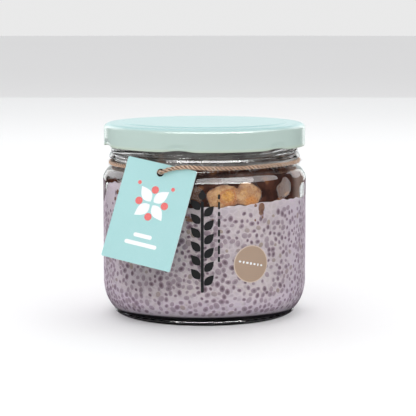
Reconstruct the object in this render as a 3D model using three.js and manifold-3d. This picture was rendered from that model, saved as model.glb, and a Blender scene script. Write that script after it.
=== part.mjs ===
// A shut glass jar of chia pudding under stewed apple, with a twist-off lid, a twine and a card tag.
// Millimetres, +Z up. The origin is on the jar's axis, on the plane that the jar stands on.
// Azimuths are in degrees round the axis: 0 is the front (-Y), and they grow towards +X.

import * as THREE from 'three';
import { mergeVertices } from 'three/addons/utils/BufferGeometryUtils.js';
import Module from 'manifold-3d';

const wasm = await Module();
wasm.setup();

// Driving dimensions
const ROUND_STEPS = 42;            // sides of every turned piece
const TOPPING_STEPS = 32;          // sides of the topping's core and of the space it fills
const BEND_STEPS = 4;              // straight lengths in each bend of an outline
const GAP = 0.35;                  // clearance between pieces that touch
const BODY_RADIUS = 42.9;
const WALL = 2.2;
const FOOT_INNER = 31.2;           // flat ring that the jar stands on
const FOOT_OUTER = 33.6;
const HEEL_START = [38.6, 2.7];    // radius and height where the round heel begins
const HEEL_TOP = 14;
const SHOULDER_START = 57.0;
const NECK_RADIUS = 38.5;
const NECK_WALL = 1.9;
const NECK_START = 63.9;
const BEAD = { radius: 40.3, height: 67.0, half: 1.25 };
const RIM_TOP = 79.6;
const THREAD = { count: 6, start: -20, sweep: 96, low: 68.4, high: 71.4, half: 0.9, steps: 6, sides: 5 };

const LID = { radius: 42.5, top: 80.7, bottom: 71.3, sheet: 0.5, cornerIn: 3.0, cornerDown: 2.0 };
const LID_PANEL = { radius: 33.4, rise: 0.35, slope: 1.6 };
const CURL = 0.5;                  // half height of the rolled edge under the skirt
const LUG = { count: 6, azimuth: -14.5, half: 11.5, dent: 0.55, dentHeight: 4.2 };

const PUDDING_TOP = 49.5;
const PUDDING_TILT = { azimuth: 80, rise: 1.0 };    // the pudding's top stands higher on this side
const SMEAR = { azimuth: -56, inner: 13, outer: 26, rise: 8.2 };   // pudding wiped up the glass
const FLOOR = { middle: 7.0, edge: 4.6 };           // inner face of the jar's base
const TOPPING_TOP = 73.5;

const TWINE_RADIUS = 0.85;
const TWINE_SIDES = 8;
const KNOT = { radius: 1.9, azimuth: 180, out: 40.9, height: 64.7 };
const TWINE_ENDS = [
  [[181, 40.9, 64.7], [184, 42.9, 64.0], [186, 44.5, 61.7], [187, 45.3, 58.6]],
  [[179, 40.9, 64.7], [175, 42.9, 64.4], [172, 44.8, 62.7], [170, 45.9, 60.2]],
];
// The twine's middle line as azimuth, radius and height, from the knot through the tag's hole
const TWINE_ROUTE = [
  [181, 40.7, 64.7], [196, 39.7, 64.7], [214, 39.7, 64.5], [232, 39.7, 64.3], [250, 39.7, 64.1],
  [268, 39.7, 64.0], [286, 39.7, 64.1], [300, 39.7, 64.2], [312, 39.7, 64.3], [321, 39.8, 64.3],
  [328, 40.05, 64.0], [332.6, 40.75, 63.6], [335.5, 42.1, 63.2], [336.5, 43.35, 63.45],
  [338.6, 43.45, 64.05], [341.6, 42.85, 64.8], [345.2, 42.5, 65.25], [348.6, 42.55, 65.55],
  [351.8, 42.8, 65.65], [355.0, 43.25, 65.55], [358, 43.1, 65.35], [361.5, 42.1, 65.15],
  [366, 40.9, 65.0], [372, 40.1, 64.85], [380, 39.75, 64.8], [392, 39.7, 64.95], [404, 39.7, 65.0],
  [418, 39.7, 64.95], [434, 39.7, 64.95], [452, 39.7, 64.9],
  [470, 39.7, 64.9], [488, 39.7, 64.9], [506, 39.7, 64.8], [524, 39.7, 64.7], [539, 40.7, 64.7],
];
const TAG_STRETCH = [0.33, 0.475];  // part of the route's length that bends through the hole
const TWINE_STEPS = { before: 21, through: 20, after: 30, end: 5 };

const TAG = { width: 30.1, height: 41.7, thick: 0.5, corner: 0.6 };
const TAG_HOLE = { x: 0.1, y: 17.1, radius: 1.65 };
const TAG_CENTRE = [-22.2, -41.9, 47.0];
const TAG_YAW = 18;                // degrees that its face turns to the left
const TAG_LEAN = 17;               // degrees that its top leans back
const TAG_TURN = 10.5;             // degrees clockwise in its own plane

const STICKER = { radius: 7.6, azimuth: 26, height: 26.1, thick: 0.22, stand: 0.2, sides: 20 };

const CUBE = { size: 11, spread: 0.18, skew: 0.13 };
const CUBE_RINGS = [
  { count: 22, azimuth: 10, radius: 35.6, height: 53.8, wander: 1.2 },
  { count: 16, azimuth: 14, radius: 33.0, height: 62.0, wander: 1.2 },
  { count: 10, azimuth: 5, radius: 29.0, height: 68.2, wander: 1.0 },
  { count: 3, azimuth: 20, radius: 14, height: 67.0, wander: 1.2 },
];

// Helpers

const radians = THREE.MathUtils.degToRad;

function seeded(seed) {
  let state = seed;
  return () => {
    state = (state * 1664525 + 1013904223) % 4294967296;
    return state / 4294967296;
  };
}

function onRound(azimuth, radius, height) {
  const angle = radians(azimuth);
  return new THREE.Vector3(radius * Math.sin(angle), -radius * Math.cos(angle), height);
}

function azimuthOf(x, y) {
  return THREE.MathUtils.radToDeg(Math.atan2(x, -y));
}

// Difference of two azimuths, from -180 to 180
function turnFrom(azimuth, from) {
  return THREE.MathUtils.euclideanModulo(azimuth - from + 180, 360) - 180;
}

// 1 up to the inner distance, falling smoothly to 0 at the outer one
function plateau(distance, inner, outer) {
  return 1 - THREE.MathUtils.smoothstep(Math.abs(distance), inner, outer);
}

// 1 in the middle of a bump, falling smoothly to 0 at its half width
function bump(distance, half) {
  const share = Math.min(Math.abs(distance) / half, 1);
  return 0.5 + 0.5 * Math.cos(Math.PI * share);
}

// Turns a profile of (radius, height) points round Z
function turned(profile, steps = ROUND_STEPS) {
  return new THREE.LatheGeometry(profile, steps).rotateX(Math.PI / 2);
}

function movePoints(geometry, move) {
  const position = geometry.attributes.position;
  const point = new THREE.Vector3();
  for (let i = 0; i < position.count; i += 1) {
    point.fromBufferAttribute(position, i);
    move(point);
    position.setXYZ(i, point.x, point.y, point.z);
  }
  return geometry;
}

function toSolid(geometry) {
  const bare = geometry.clone();
  bare.deleteAttribute('normal');
  bare.deleteAttribute('uv');
  const merged = mergeVertices(bare, 1e-4);
  return new wasm.Manifold(new wasm.Mesh({
    numProp: 3,
    vertProperties: new Float32Array(merged.attributes.position.array),
    triVerts: new Uint32Array(merged.index.array),
  }));
}

function toGeometry(solid) {
  const mesh = solid.getMesh();
  const geometry = new THREE.BufferGeometry();
  geometry.setAttribute('position', new THREE.BufferAttribute(mesh.vertProperties, 3));
  geometry.setIndex(new THREE.BufferAttribute(mesh.triVerts, 1));
  geometry.computeVertexNormals();
  return geometry;
}

function joined(geometries) {
  return geometries.map(toSolid).reduce((whole, solid) => whole.add(solid));
}

// Drops loose scraps and fills sealed hollows, which are bodies of their own
function largestBody(solid) {
  return solid.decompose().reduce((most, body) => (body.volume() > most.volume() ? body : most));
}

function roundSection(radius, sides) {
  const shape = new THREE.Shape();
  for (let i = 0; i < sides; i += 1) {
    const angle = (2 * Math.PI * (i + 0.5)) / sides;
    const x = radius * Math.cos(angle);
    const y = radius * Math.sin(angle);
    if (i === 0) shape.moveTo(x, y);
    else shape.lineTo(x, y);
  }
  return shape;
}

function toVectors(points) {
  return points.map(([x, y]) => new THREE.Vector2(x, y));
}

// Points of a smooth bend between its first and last corner
function bend(...corners) {
  return new THREE.CubicBezierCurve(...toVectors(corners)).getPoints(BEND_STEPS).map(({ x, y }) => [x, y]);
}

function swept(shape, path, steps) {
  return new THREE.ExtrudeGeometry(shape, { extrudePath: path, steps, bevelEnabled: false });
}

// Glass jar

const INSIDE_RADIUS = BODY_RADIUS - WALL;
const MOUTH_RADIUS = NECK_RADIUS - NECK_WALL;

// Inner face of the base and heel, from the axis out and up, moved in by inset
function innerBase(inset) {
  return [
    ...bend([0, FLOOR.middle + inset], [12, FLOOR.middle + inset],
      [22, FLOOR.edge + inset], [33, FLOOR.edge + inset]),
    ...bend([33.5 - inset / 2, FLOOR.edge + inset], [38.6 - inset, FLOOR.edge + inset],
      [INSIDE_RADIUS - inset, 8.6], [INSIDE_RADIUS - inset, HEEL_TOP]),
  ];
}

// Inner face of the shoulder, from the body up to the neck, moved in and down by inset
function innerShoulder(inset) {
  return bend([INSIDE_RADIUS - inset, SHOULDER_START - 1.4 - inset], [INSIDE_RADIUS - inset, 61.4 - inset],
    [MOUTH_RADIUS - inset, 62.4 - inset], [MOUTH_RADIUS - inset, NECK_START + 0.8 - inset]);
}

function jarProfile() {
  const land = NECK_RADIUS + 0.2;
  return toVectors([
    [0, 3.0], [19, 2.5], [26, 1.5], [FOOT_INNER, 0], [FOOT_OUTER, 0], [35.5, 0.45], [37.3, 1.45],
    ...bend(HEEL_START, [40.6, 4.8], [42.5, 8.0], [BODY_RADIUS, HEEL_TOP]),
    ...bend([BODY_RADIUS, SHOULDER_START], [BODY_RADIUS, 61.6], [38.9, 62.0], [NECK_RADIUS, NECK_START]),
    [NECK_RADIUS, BEAD.height - BEAD.half],
    [BEAD.radius, BEAD.height - BEAD.half / 3],
    [BEAD.radius, BEAD.height + BEAD.half / 3],
    [land, BEAD.height + BEAD.half],
    [land, RIM_TOP - 0.8],
    [land - 0.7, RIM_TOP],
    [MOUTH_RADIUS + 0.5, RIM_TOP],
    [MOUTH_RADIUS, RIM_TOP - 0.6],
    ...innerShoulder(0).toReversed(),
    ...innerBase(0).toReversed(),
  ]);
}

// A rising ridge on the neck that one lug of the lid runs under
function threadRidge(index) {
  const start = THREAD.start + (index * 360) / THREAD.count;
  const points = [];
  for (let i = 0; i <= THREAD.steps; i += 1) {
    const share = i / THREAD.steps;
    const height = THREE.MathUtils.lerp(THREAD.low, THREAD.high, share);
    points.push(onRound(start + THREAD.sweep * share, NECK_RADIUS + 0.2, height));
  }
  const ridge = new THREE.CatmullRomCurve3(points);
  return swept(roundSection(THREAD.half, THREAD.sides), ridge, THREAD.steps);
}

function jar() {
  const pieces = [turned(jarProfile())];
  for (let i = 0; i < THREAD.count; i += 1) {
    pieces.push(threadRidge(i));
  }
  return toGeometry(joined(pieces));
}

// Twist-off lid: a thin shell with a rolled edge, open below

function lidProfile() {
  const { radius, top, bottom, sheet, cornerIn, cornerDown } = LID;
  const panel = LID_PANEL.radius;
  const raised = top + LID_PANEL.rise;
  const under = radius - sheet;
  const shoulder = [radius - cornerIn, top];
  return toVectors([
    [0, raised - sheet], [panel, raised - sheet], [panel + LID_PANEL.slope, top - sheet],
    [shoulder[0] - sheet, top - sheet], [under - cornerIn * 0.3, top - cornerDown * 0.3 - sheet],
    [under, top - cornerDown - sheet], [under, bottom + 3 * CURL], [under - CURL, bottom + 2 * CURL],
    [under - CURL, bottom + CURL], [under, bottom], [radius, bottom + CURL / 2],
    [radius, bottom + 2.2], [radius, bottom + 4.2], [radius, top - cornerDown],
    [radius - cornerIn * 0.12, top - cornerDown * 0.55], [radius - cornerIn * 0.45, top - cornerDown * 0.13],
    shoulder, [panel + LID_PANEL.slope, top], [panel, raised], [0, raised],
  ]);
}

// The skirt is pressed in over each lug, in an arch that is deepest at the lower edge
function pressLugs(point) {
  const radius = Math.hypot(point.x, point.y);
  if (radius < LID.radius - 2) return;
  const up = bump(point.z - LID.bottom, LUG.dentHeight);
  const spacing = 360 / LUG.count;
  const fromFirst = turnFrom(azimuthOf(point.x, point.y), LUG.azimuth);
  const along = bump(fromFirst - spacing * Math.round(fromFirst / spacing), LUG.half);
  const scale = 1 - (LUG.dent * along * up) / radius;
  point.x *= scale;
  point.y *= scale;
}

function lid() {
  return movePoints(turned(lidProfile()), pressLugs);
}

// Pudding and topping

// Height of the boundary between the pudding and the topping
function puddingHeight(radius, azimuth) {
  const angle = radians(azimuth);
  const edge = THREE.MathUtils.smoothstep(radius, 34, 39.5);
  const tilt = PUDDING_TILT.rise * Math.cos(radians(azimuth - PUDDING_TILT.azimuth));
  const waves = 0.12 * Math.sin(7 * angle + 2.1) - 0.42 * Math.cos(4 * angle);
  const smear = SMEAR.rise * plateau(turnFrom(azimuth, SMEAR.azimuth), SMEAR.inner, SMEAR.outer);
  const dish = 1.2 * (1 - edge) * Math.sin(2 * angle + radius / 9);
  return PUDDING_TOP + dish + edge * (tilt + waves + smear);
}

const BOUNDARY_RINGS = [39.6, 37.8, 35.5, 30, 18, 0].map((radius) => [radius, 0]);

// The profile writes the boundary at height 0, and its points then move to their real height
function puddingTo(wall) {
  const profile = [...innerBase(GAP), [wall, 0], ...BOUNDARY_RINGS];
  return movePoints(turned(toVectors(profile)), (point) => {
    if (Math.abs(point.z) > 1e-6) return;
    point.z = puddingHeight(Math.hypot(point.x, point.y), azimuthOf(point.x, point.y));
  });
}

function pudding() {
  return puddingTo(INSIDE_RADIUS - GAP);
}

// The space inside the glass that the topping may fill, before the pudding is cut away
function toppingSpace() {
  const wall = INSIDE_RADIUS - GAP;
  const low = PUDDING_TOP - 4;
  return turned(toVectors([
    [0, low], [wall, low], [wall, SHOULDER_START - 3], ...innerShoulder(GAP),
    [MOUTH_RADIUS - GAP, TOPPING_TOP], [0, TOPPING_TOP],
  ]), TOPPING_STEPS);
}

function toppingCore() {
  return turned(toVectors([
    [0, PUDDING_TOP - 4], [38.9, PUDDING_TOP - 4], [38.9, 57], [37.4, 60.5], [35.2, 64], [34.6, 67],
    [25, 68.5], [0, 69],
  ]), TOPPING_STEPS);
}

// A cut cube of apple, a little out of square
function appleCube(random) {
  const side = () => CUBE.size * (1 + CUBE.spread * (2 * random() - 1));
  const corners = new Map();
  const box = new THREE.BoxGeometry(side(), side(), side());
  movePoints(box, (point) => {
    const key = [point.x, point.y, point.z].map(Math.sign).join();
    if (!corners.has(key)) {
      corners.set(key, [0, 0, 0].map(() => 1 + CUBE.skew * (2 * random() - 1)));
    }
    const [a, b, c] = corners.get(key);
    point.set(point.x * a, point.y * b, point.z * c);
  });
  return box.rotateZ(3 * random()).rotateX(3 * random()).rotateY(3 * random());
}

function appleCubes() {
  const random = seeded(71);
  const cubes = [];
  for (const ring of CUBE_RINGS) {
    for (let i = 0; i < ring.count; i += 1) {
      const cube = appleCube(random);
      const jitter = i < 2 ? 0 : 5 * (random() - 0.5);
      const height = ring.height + ring.wander * (2 * random() - 1);
      const place = onRound(ring.azimuth + (360 * i) / ring.count + jitter, ring.radius, height);
      cubes.push(cube.translate(place.x, place.y, place.z));
    }
  }
  return cubes;
}

function topping() {
  const heap = joined([toppingCore(), ...appleCubes()]).intersect(toSolid(toppingSpace()));
  const puddingBelow = toSolid(puddingTo(INSIDE_RADIUS + 2).translate(0, 0, GAP));
  return toGeometry(largestBody(heap.subtract(puddingBelow)));
}

// Twine

class Stretch extends THREE.Curve {
  constructor(whole, from, to) {
    super();
    this.whole = whole;
    this.from = from;
    this.to = to;
  }

  getPoint(t) {
    return this.whole.getPointAt(THREE.MathUtils.lerp(this.from, this.to, t));
  }
}

function twine() {
  const route = new THREE.CatmullRomCurve3(TWINE_ROUTE.map((place) => onRound(...place)));
  route.arcLengthDivisions = 800;
  const section = roundSection(TWINE_RADIUS, TWINE_SIDES);
  const [from, to] = TAG_STRETCH;
  const overlap = 0.002;
  const knot = new THREE.IcosahedronGeometry(KNOT.radius, 1);
  const middle = onRound(KNOT.azimuth, KNOT.out, KNOT.height);
  return toGeometry(joined([
    swept(section, new Stretch(route, 0, from + overlap), TWINE_STEPS.before),
    swept(section, new Stretch(route, from, to), TWINE_STEPS.through),
    swept(section, new Stretch(route, to - overlap, 1), TWINE_STEPS.after),
    knot.translate(middle.x, middle.y, middle.z),
    ...TWINE_ENDS.map((places) => {
      const end = new THREE.CatmullRomCurve3(places.map((place) => onRound(...place)));
      return swept(section, end, TWINE_STEPS.end);
    }),
  ]));
}

// Card tag, hung by the hole near its top edge

function tag() {
  const { width, height, thick, corner } = TAG;
  const card = new THREE.Shape();
  const x = width / 2 - corner;
  const y = height / 2 - corner;
  card.absarc(x, y, corner, 0, Math.PI / 2);
  card.absarc(-x, y, corner, Math.PI / 2, Math.PI);
  card.absarc(-x, -y, corner, Math.PI, 1.5 * Math.PI);
  card.absarc(x, -y, corner, 1.5 * Math.PI, 2 * Math.PI);
  const hole = new THREE.Path();
  hole.absarc(TAG_HOLE.x, TAG_HOLE.y, TAG_HOLE.radius, 0, 2 * Math.PI, true);
  card.holes.push(hole);
  const sheet = new THREE.ExtrudeGeometry(card, { depth: thick, bevelEnabled: false, curveSegments: 5 });
  return sheet.translate(0, 0, -thick / 2);
}

function hangTag(mesh) {
  mesh.rotation.z = -radians(TAG_TURN);
  const lean = new THREE.Group();
  lean.rotation.x = radians(90 - TAG_LEAN);
  lean.add(mesh);
  const yaw = new THREE.Group();
  yaw.rotation.z = -radians(TAG_YAW);
  yaw.position.set(...TAG_CENTRE);
  yaw.add(lean);
  return yaw;
}

// Round paper sticker, bent to the jar

function sticker() {
  const { radius, thick, azimuth, height, stand, sides } = STICKER;
  const profile = toVectors([
    [0, 0], [radius / 2, 0], [radius, 0], [radius, thick], [radius / 2, thick], [0, thick],
  ]);
  return movePoints(turned(profile, sides), (point) => {
    const out = BODY_RADIUS + stand + point.z;
    const around = azimuth + THREE.MathUtils.radToDeg(point.x / BODY_RADIUS);
    point.copy(onRound(around, out, height + point.y));
  });
}

// The model

const FINISHES = {
  glass: { color: 0xdfe6e4, roughness: 0.05, metalness: 0 },
  mint_paint: { color: 0xb9d8d0, roughness: 0.35, metalness: 0.1 },
  jute: { color: 0xbf9f86, roughness: 0.9, metalness: 0 },
  aqua_card: { color: 0xace0de, roughness: 0.8, metalness: 0 },
  beige_paper: { color: 0xba9e8a, roughness: 0.7, metalness: 0 },
  pudding: { color: 0xbbb1b3, roughness: 0.45, metalness: 0 },
  stewed_apple: { color: 0x7a4a2c, roughness: 0.35, metalness: 0 },
};

function piece(name, geometry, finish) {
  const mesh = new THREE.Mesh(geometry, new THREE.MeshStandardMaterial(FINISHES[finish]));
  mesh.name = name;
  return mesh;
}

const model = new THREE.Group();
model.add(
  piece('jar', jar(), 'glass'),
  piece('lid', lid(), 'mint_paint'),
  piece('chia_pudding', pudding(), 'pudding'),
  piece('apple_topping', topping(), 'stewed_apple'),
  piece('twine', twine(), 'jute'),
  hangTag(piece('tag', tag(), 'aqua_card')),
  piece('sticker', sticker(), 'beige_paper'),
);

export default model;
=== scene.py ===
"""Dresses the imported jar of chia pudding: clear glass, mint lid, seeds, stewed apple, jute and card."""

import math

import bmesh
import bpy
import numpy as np
from mathutils import Euler, Matrix, Vector


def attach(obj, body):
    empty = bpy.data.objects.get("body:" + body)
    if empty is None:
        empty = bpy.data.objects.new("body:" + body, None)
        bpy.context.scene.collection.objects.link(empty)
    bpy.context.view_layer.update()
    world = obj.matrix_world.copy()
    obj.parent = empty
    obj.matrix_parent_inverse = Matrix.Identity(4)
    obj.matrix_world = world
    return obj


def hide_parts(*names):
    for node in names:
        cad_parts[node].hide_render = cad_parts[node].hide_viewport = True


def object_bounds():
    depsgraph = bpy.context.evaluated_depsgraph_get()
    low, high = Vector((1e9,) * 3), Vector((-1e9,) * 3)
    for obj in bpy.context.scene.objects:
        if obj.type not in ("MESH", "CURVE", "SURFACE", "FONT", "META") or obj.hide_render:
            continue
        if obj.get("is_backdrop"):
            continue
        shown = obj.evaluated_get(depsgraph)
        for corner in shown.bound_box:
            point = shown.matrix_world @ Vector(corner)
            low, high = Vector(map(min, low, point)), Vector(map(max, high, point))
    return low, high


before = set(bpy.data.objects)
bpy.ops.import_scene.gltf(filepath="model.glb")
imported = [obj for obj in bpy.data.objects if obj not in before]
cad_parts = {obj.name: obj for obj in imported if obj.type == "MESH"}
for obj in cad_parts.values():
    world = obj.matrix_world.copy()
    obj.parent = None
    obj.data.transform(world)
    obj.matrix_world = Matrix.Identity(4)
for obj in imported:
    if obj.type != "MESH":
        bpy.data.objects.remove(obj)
cad_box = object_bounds()

# Driving dimensions, in millimetres and degrees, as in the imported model
BODY_RADIUS = 42.9
WALL = 2.2
FOOT_INNER, FOOT_OUTER = 31.2, 33.6
RIDGE_RADIUS, RIDGE_HEIGHT = 38.2, 1.75  # low ridge where the underside turns up into the heel
HEEL_RADIUS, HEEL_LOW = 38.6, 2.7
# Tilt of the faces that catch the softboxes over the camera
RIDGE_SLOPE, BEAD_SLOPE, SHOULDER_SLOPE = 28.5, 25.0, 31.5
HEEL_TOP = 14.0
SHOULDER_START = 57.0
NECK_RADIUS = 38.5
NECK_WALL = 1.9
NECK_START = 63.9
BEAD_RADIUS, BEAD_HEIGHT, BEAD_HALF = 40.3, 67.0, 1.25
RIM_TOP = 79.6
THREAD_COUNT, THREAD_START, THREAD_SWEEP, THREAD_HALF = 6, -20.0, 98.0, 0.8
THREAD_TOP = 72.6  # above every thread
# Height of a thread's middle, at angles from its start
THREAD_CLIMB = ((0, 17, 30, 40, 60, 72, 80, 98), (68.3, 68.8, 69.0, 69.2, 69.3, 70.1, 70.5, 71.4))
FLOOR_MIDDLE, FLOOR_EDGE = 7.0, 4.6
INSIDE_RADIUS = BODY_RADIUS - WALL
MOUTH_RADIUS = NECK_RADIUS - NECK_WALL
LAND_RADIUS = NECK_RADIUS + 0.2
JAR_STEPS = 360
KNURLS, KNURL_RISE, KNURL_HALF = 52, 0.34, 2.4  # bearing ridges on the foot ring
# The mould's seam runs up this side and the opposite one
SEAM_AZIMUTH, SEAM_RISE, SEAM_HALF = 96.0, 0.07, 1.6
WAVE_OUTSIDE, WAVE_INSIDE = 0.015, 0.05  # size of the slow waves of the glass
# Stippled patches on the neck, as azimuth and half width, and their height and half height
STIPPLES = [(-32, 10), (37, 14)]
STIPPLE_HEIGHT, STIPPLE_HALF = 70.4, 1.1

LID_RADIUS, LID_TOP, LID_BOTTOM = 42.5, 80.7, 71.3
LID_SHEET, LID_CURL = 0.5, 0.5
CORNER_IN, CORNER_DOWN = 3.0, 2.0
PANEL_RADIUS, PANEL_RISE, PANEL_SLOPE = 33.4, 0.35, 1.6
LUG_COUNT, LUG_AZIMUTH, LUG_HALF = 6, -14.5, 11.5
LUG_DENT, LUG_DENT_HEIGHT, LUG_LIFT = 0.7, 4.2, 0.65

PUDDING_TOP = 49.5
TILT_AZIMUTH, TILT_RISE = 80.0, 1.0  # the pudding's top stands higher on this side
# Smear of pudding wiped up the glass: its middle, the widths of its top and foot, and its rise
SMEAR_AZIMUTH, SMEAR_INNER, SMEAR_OUTER, SMEAR_RISE = -56.0, 13.0, 26.0, 8.2
# Where the pudding's lighter lilac starts and is full, partly its own tint and partly painted light at the
# sides and low down: square of the distance forward or back, and height
LILAC_AND_LIGHT_SQUARES, LILAC_AND_LIGHT_HEIGHTS = (1150, 100), (17, 6)
SEED_SPACING = 1.95
SEED_BELOW = 0.6  # the seeds stop this far below the pudding's top edge
SEED_THINNING = 7.0  # they lie less thickly over this height under the pudding's top
SEED_DENSITY = 0.5  # most seeds per square millimetre
SEED_HALVES = (1.42, 1.12, 0.3)  # half sizes with the soft gel round the seed
TOPPING_TOP = 73.5
INTO_WALL = 0.15  # how far the food reaches into the glass, so no air gap shows
HEADSPACE_GAP = 0.5  # air between the topping and the glass of the neck
CUBE_SIZE, CUBE_SPREAD, CUBE_SKEW = 11.0, 0.18, 0.13
CUBE_SEED = 71
# Count, first azimuth, radius, height and wander of each ring of apple cubes
CUBE_RINGS = [
    (22, 10.0, 35.6, 53.8, 1.2),
    (16, 14.0, 33.0, 62.0, 1.2),
    (10, 5.0, 29.0, 68.2, 1.0),
    (3, 20.0, 14.0, 67.0, 1.2),
]
CUBE_CUTS, DRIP_CUTS = 13, 8  # cuts across the sides of the cubes that pieces and drips start from
CUBE_PRESS = 0.8  # over this depth a cube flattens where it meets the glass
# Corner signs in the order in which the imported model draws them
CORNER_ORDER = [
    (1, 1, 1), (1, 1, -1), (1, -1, 1), (1, -1, -1), (-1, 1, -1), (-1, 1, 1), (-1, -1, -1), (-1, -1, 1),
]
# Pieces of apple at the front glass: azimuth, height, width, height of the piece, roll and soak
FRONT_APPLES = {
    0: (10.4, 53.4, 12.8, 9.4, 8.0, 0.0),
    1: (25.8, 53.9, 11.4, 9.6, -16.0, 0.0),
    2: (51.5, 55.4, 10.0, 7.4, 24.0, 0.85),
    21: (-7.5, 54.2, 10.0, 7.6, 4.0, 0.8),
}
# How far behind the glass their middles lie, half their depth, and their half sizes over those above
FRONT_IN, FRONT_HALF_DEPTH, FRONT_SPREAD = 4.4, 5.0, 0.54
CORE_AZIMUTH, CORE_HEIGHT, CORE_RADIUS = 13.4, 53.3, 2.7  # yellow heart of the first piece
BRIGHT_AZIMUTH, BRIGHT_HEIGHT, BRIGHT_RADIUS = 27.0, 51.2, 3.4  # orange foot of the second piece
VEIL_AZIMUTH, VEIL_HALF = 70.0, 15.0  # the sauce is washed a paler grey-brown at the right
PALE_AZIMUTH, PALE_HALF = -62.0, 26.0  # the sauce is washed grey at the left shoulder
RECESS = 1.5  # how far the sauce stands back behind a bare piece of apple
WINDOW_POWER = 3.2  # how square the outlines of the front pieces are
# Sauce that has run into the pudding, as azimuth, height, half width and half height
DRIPS = [
    (33.6, 48.6, 1.5, 2.0), (33.3, 46.6, 1.0, 1.2), (29.6, 49.6, 0.6, 0.6),
    (29.4, 43.6, 0.35, 0.5), (34.2, 44.6, 0.35, 0.6), (-7.5, 44.3, 2.3, 0.7), (-9.5, 45.4, 1.2, 0.5),
    (4.5, 44.2, 0.5, 0.5), (-58, 53.5, 0.9, 1.0), (-61, 50.6, 0.6, 0.8), (120, 48.9, 1.3, 1.9),
    (121.5, 46.6, 0.6, 0.8), (205, 49.0, 1.6, 1.6), (207, 46.4, 0.8, 1.4), (262, 48.7, 1.1, 1.7),
    (300, 47.2, 0.6, 0.6), (160, 45.0, 0.5, 0.5), (80, 49.4, 0.9, 1.0), (84, 47.6, 0.4, 0.5),
]
DRIP_THICK, DRIP_PROUD = 0.9, 0.42  # drips stand as proud as the seeds

STRAND_RADIUS, HELIX_RADIUS, TWINE_PITCH, TWINE_STEP = 0.42, 0.46, 5.4, 0.42
HAIR_DENSITY, HAIR_RADIUS = 0.45, 0.04  # loose hairs, per square millimetre of strand
HAIR_MIDDLE, HAIR_END = (0.6, 0, 0.35), (1.7, 0.4, 0.5)
KNOT_AZIMUTH, KNOT_OUT, KNOT_HEIGHT, KNOT_SIZE, KNOT_DEPTH = 180.0, 40.9, 64.7, 0.48, 0.62
TWINE_ENDS = [
    [(181, 40.9, 64.7), (184, 42.9, 64.0), (186, 44.5, 61.7), (187, 45.3, 58.6)],
    [(179, 40.9, 64.7), (175, 42.9, 64.4), (172, 44.8, 62.7), (170, 45.9, 60.2)],
]
# The twine's middle line as azimuth, radius and height, from the knot through the tag's hole
TWINE_ROUTE = [
    (181, 40.7, 64.7), (196, 39.7, 64.7), (214, 39.7, 64.5), (232, 39.7, 64.3), (250, 39.7, 64.1),
    (268, 39.7, 64.0), (286, 39.7, 64.1), (300, 39.7, 64.2), (312, 39.7, 64.3), (321, 39.8, 64.3),
    (328, 40.05, 64.0), (332.6, 40.75, 63.6), (335.5, 42.1, 63.2), (336.5, 43.35, 63.45),
    (338.6, 43.45, 64.05), (341.6, 42.85, 64.8), (345.2, 42.5, 65.25), (348.6, 42.55, 65.55),
    (351.8, 42.8, 65.65), (355.0, 43.25, 65.55), (358, 43.1, 65.35), (361.5, 42.1, 65.15),
    (366, 40.9, 65.0), (372, 40.1, 64.85), (380, 39.75, 64.8), (392, 39.7, 64.95), (404, 39.7, 65.0),
    (418, 39.7, 64.95), (434, 39.7, 64.95), (452, 39.7, 64.9),
    (470, 39.7, 64.9), (488, 39.7, 64.9), (506, 39.7, 64.8), (524, 39.7, 64.7), (539, 40.7, 64.7),
]

TAG_WIDTH, TAG_HEIGHT, TAG_THICK, TAG_CORNER = 30.1, 41.7, 0.5, 0.6
TAG_HOLE_X, TAG_HOLE_Y, TAG_HOLE_RADIUS = 0.1, 17.1, 1.65
TAG_CENTRE = (-22.2, -41.9, 47.0)
TAG_YAW, TAG_LEAN, TAG_TURN = 18.0, 17.0, 10.5
ROSETTE_Y, DISC_OUT, DISC_RADIUS, SMALL_DISC = 4.2, 5.6, 1.55, 0.8
PETAL_LENGTH, PETAL_WIDTH = 7.6, 4.4
BARS = [(-9.4, 8.0), (-12.8, 14.0)]  # height on the tag and width of the white bars
BAR_HEIGHT = 1.7

STICKER_RADIUS, STICKER_AZIMUTH, STICKER_HEIGHT, STICKER_THICK = 7.6, 26.0, 26.1, 0.22
DOT_WIDTHS = (1.0, 0.7, 1.1, 0.8, 1.0, 0.6, 0.9)
STEM_X, STEM_HALF, LEAF_LENGTH, LEAF_WIDTH = -0.9, 0.6, 5.6, 3.2
DASH_X, DASH_LOW = 5.8, 27.4
DASH_LENGTHS = (2.2, 3.6, 1.6, 2.8, 3.4, 1.8, 3.0, 2.0)
INK = 0.03  # thickness of printed ink, and its gap to the glass under it
STICKER_STRIP, PRINT_STRIP = 0.6, 0.7  # widths of the strips that let them bend round the jar
FLOOR_DROP = 0.05  # the floor lies this far under the foot

# The photograph's camera: place in metres, turns in radians, and lens in millimetres
CAMERA_PLACE = (0.0, -0.7112, 0.1309)
CAMERA_PITCH, CAMERA_YAW = 0.1214, -0.00208
CAMERA_LENS = 145.84

WHITE, LILAC, COOL = (1.0, 1.0, 1.0), (1.0, 0.95, 1.0), (0.96, 0.95, 1.0)
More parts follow.
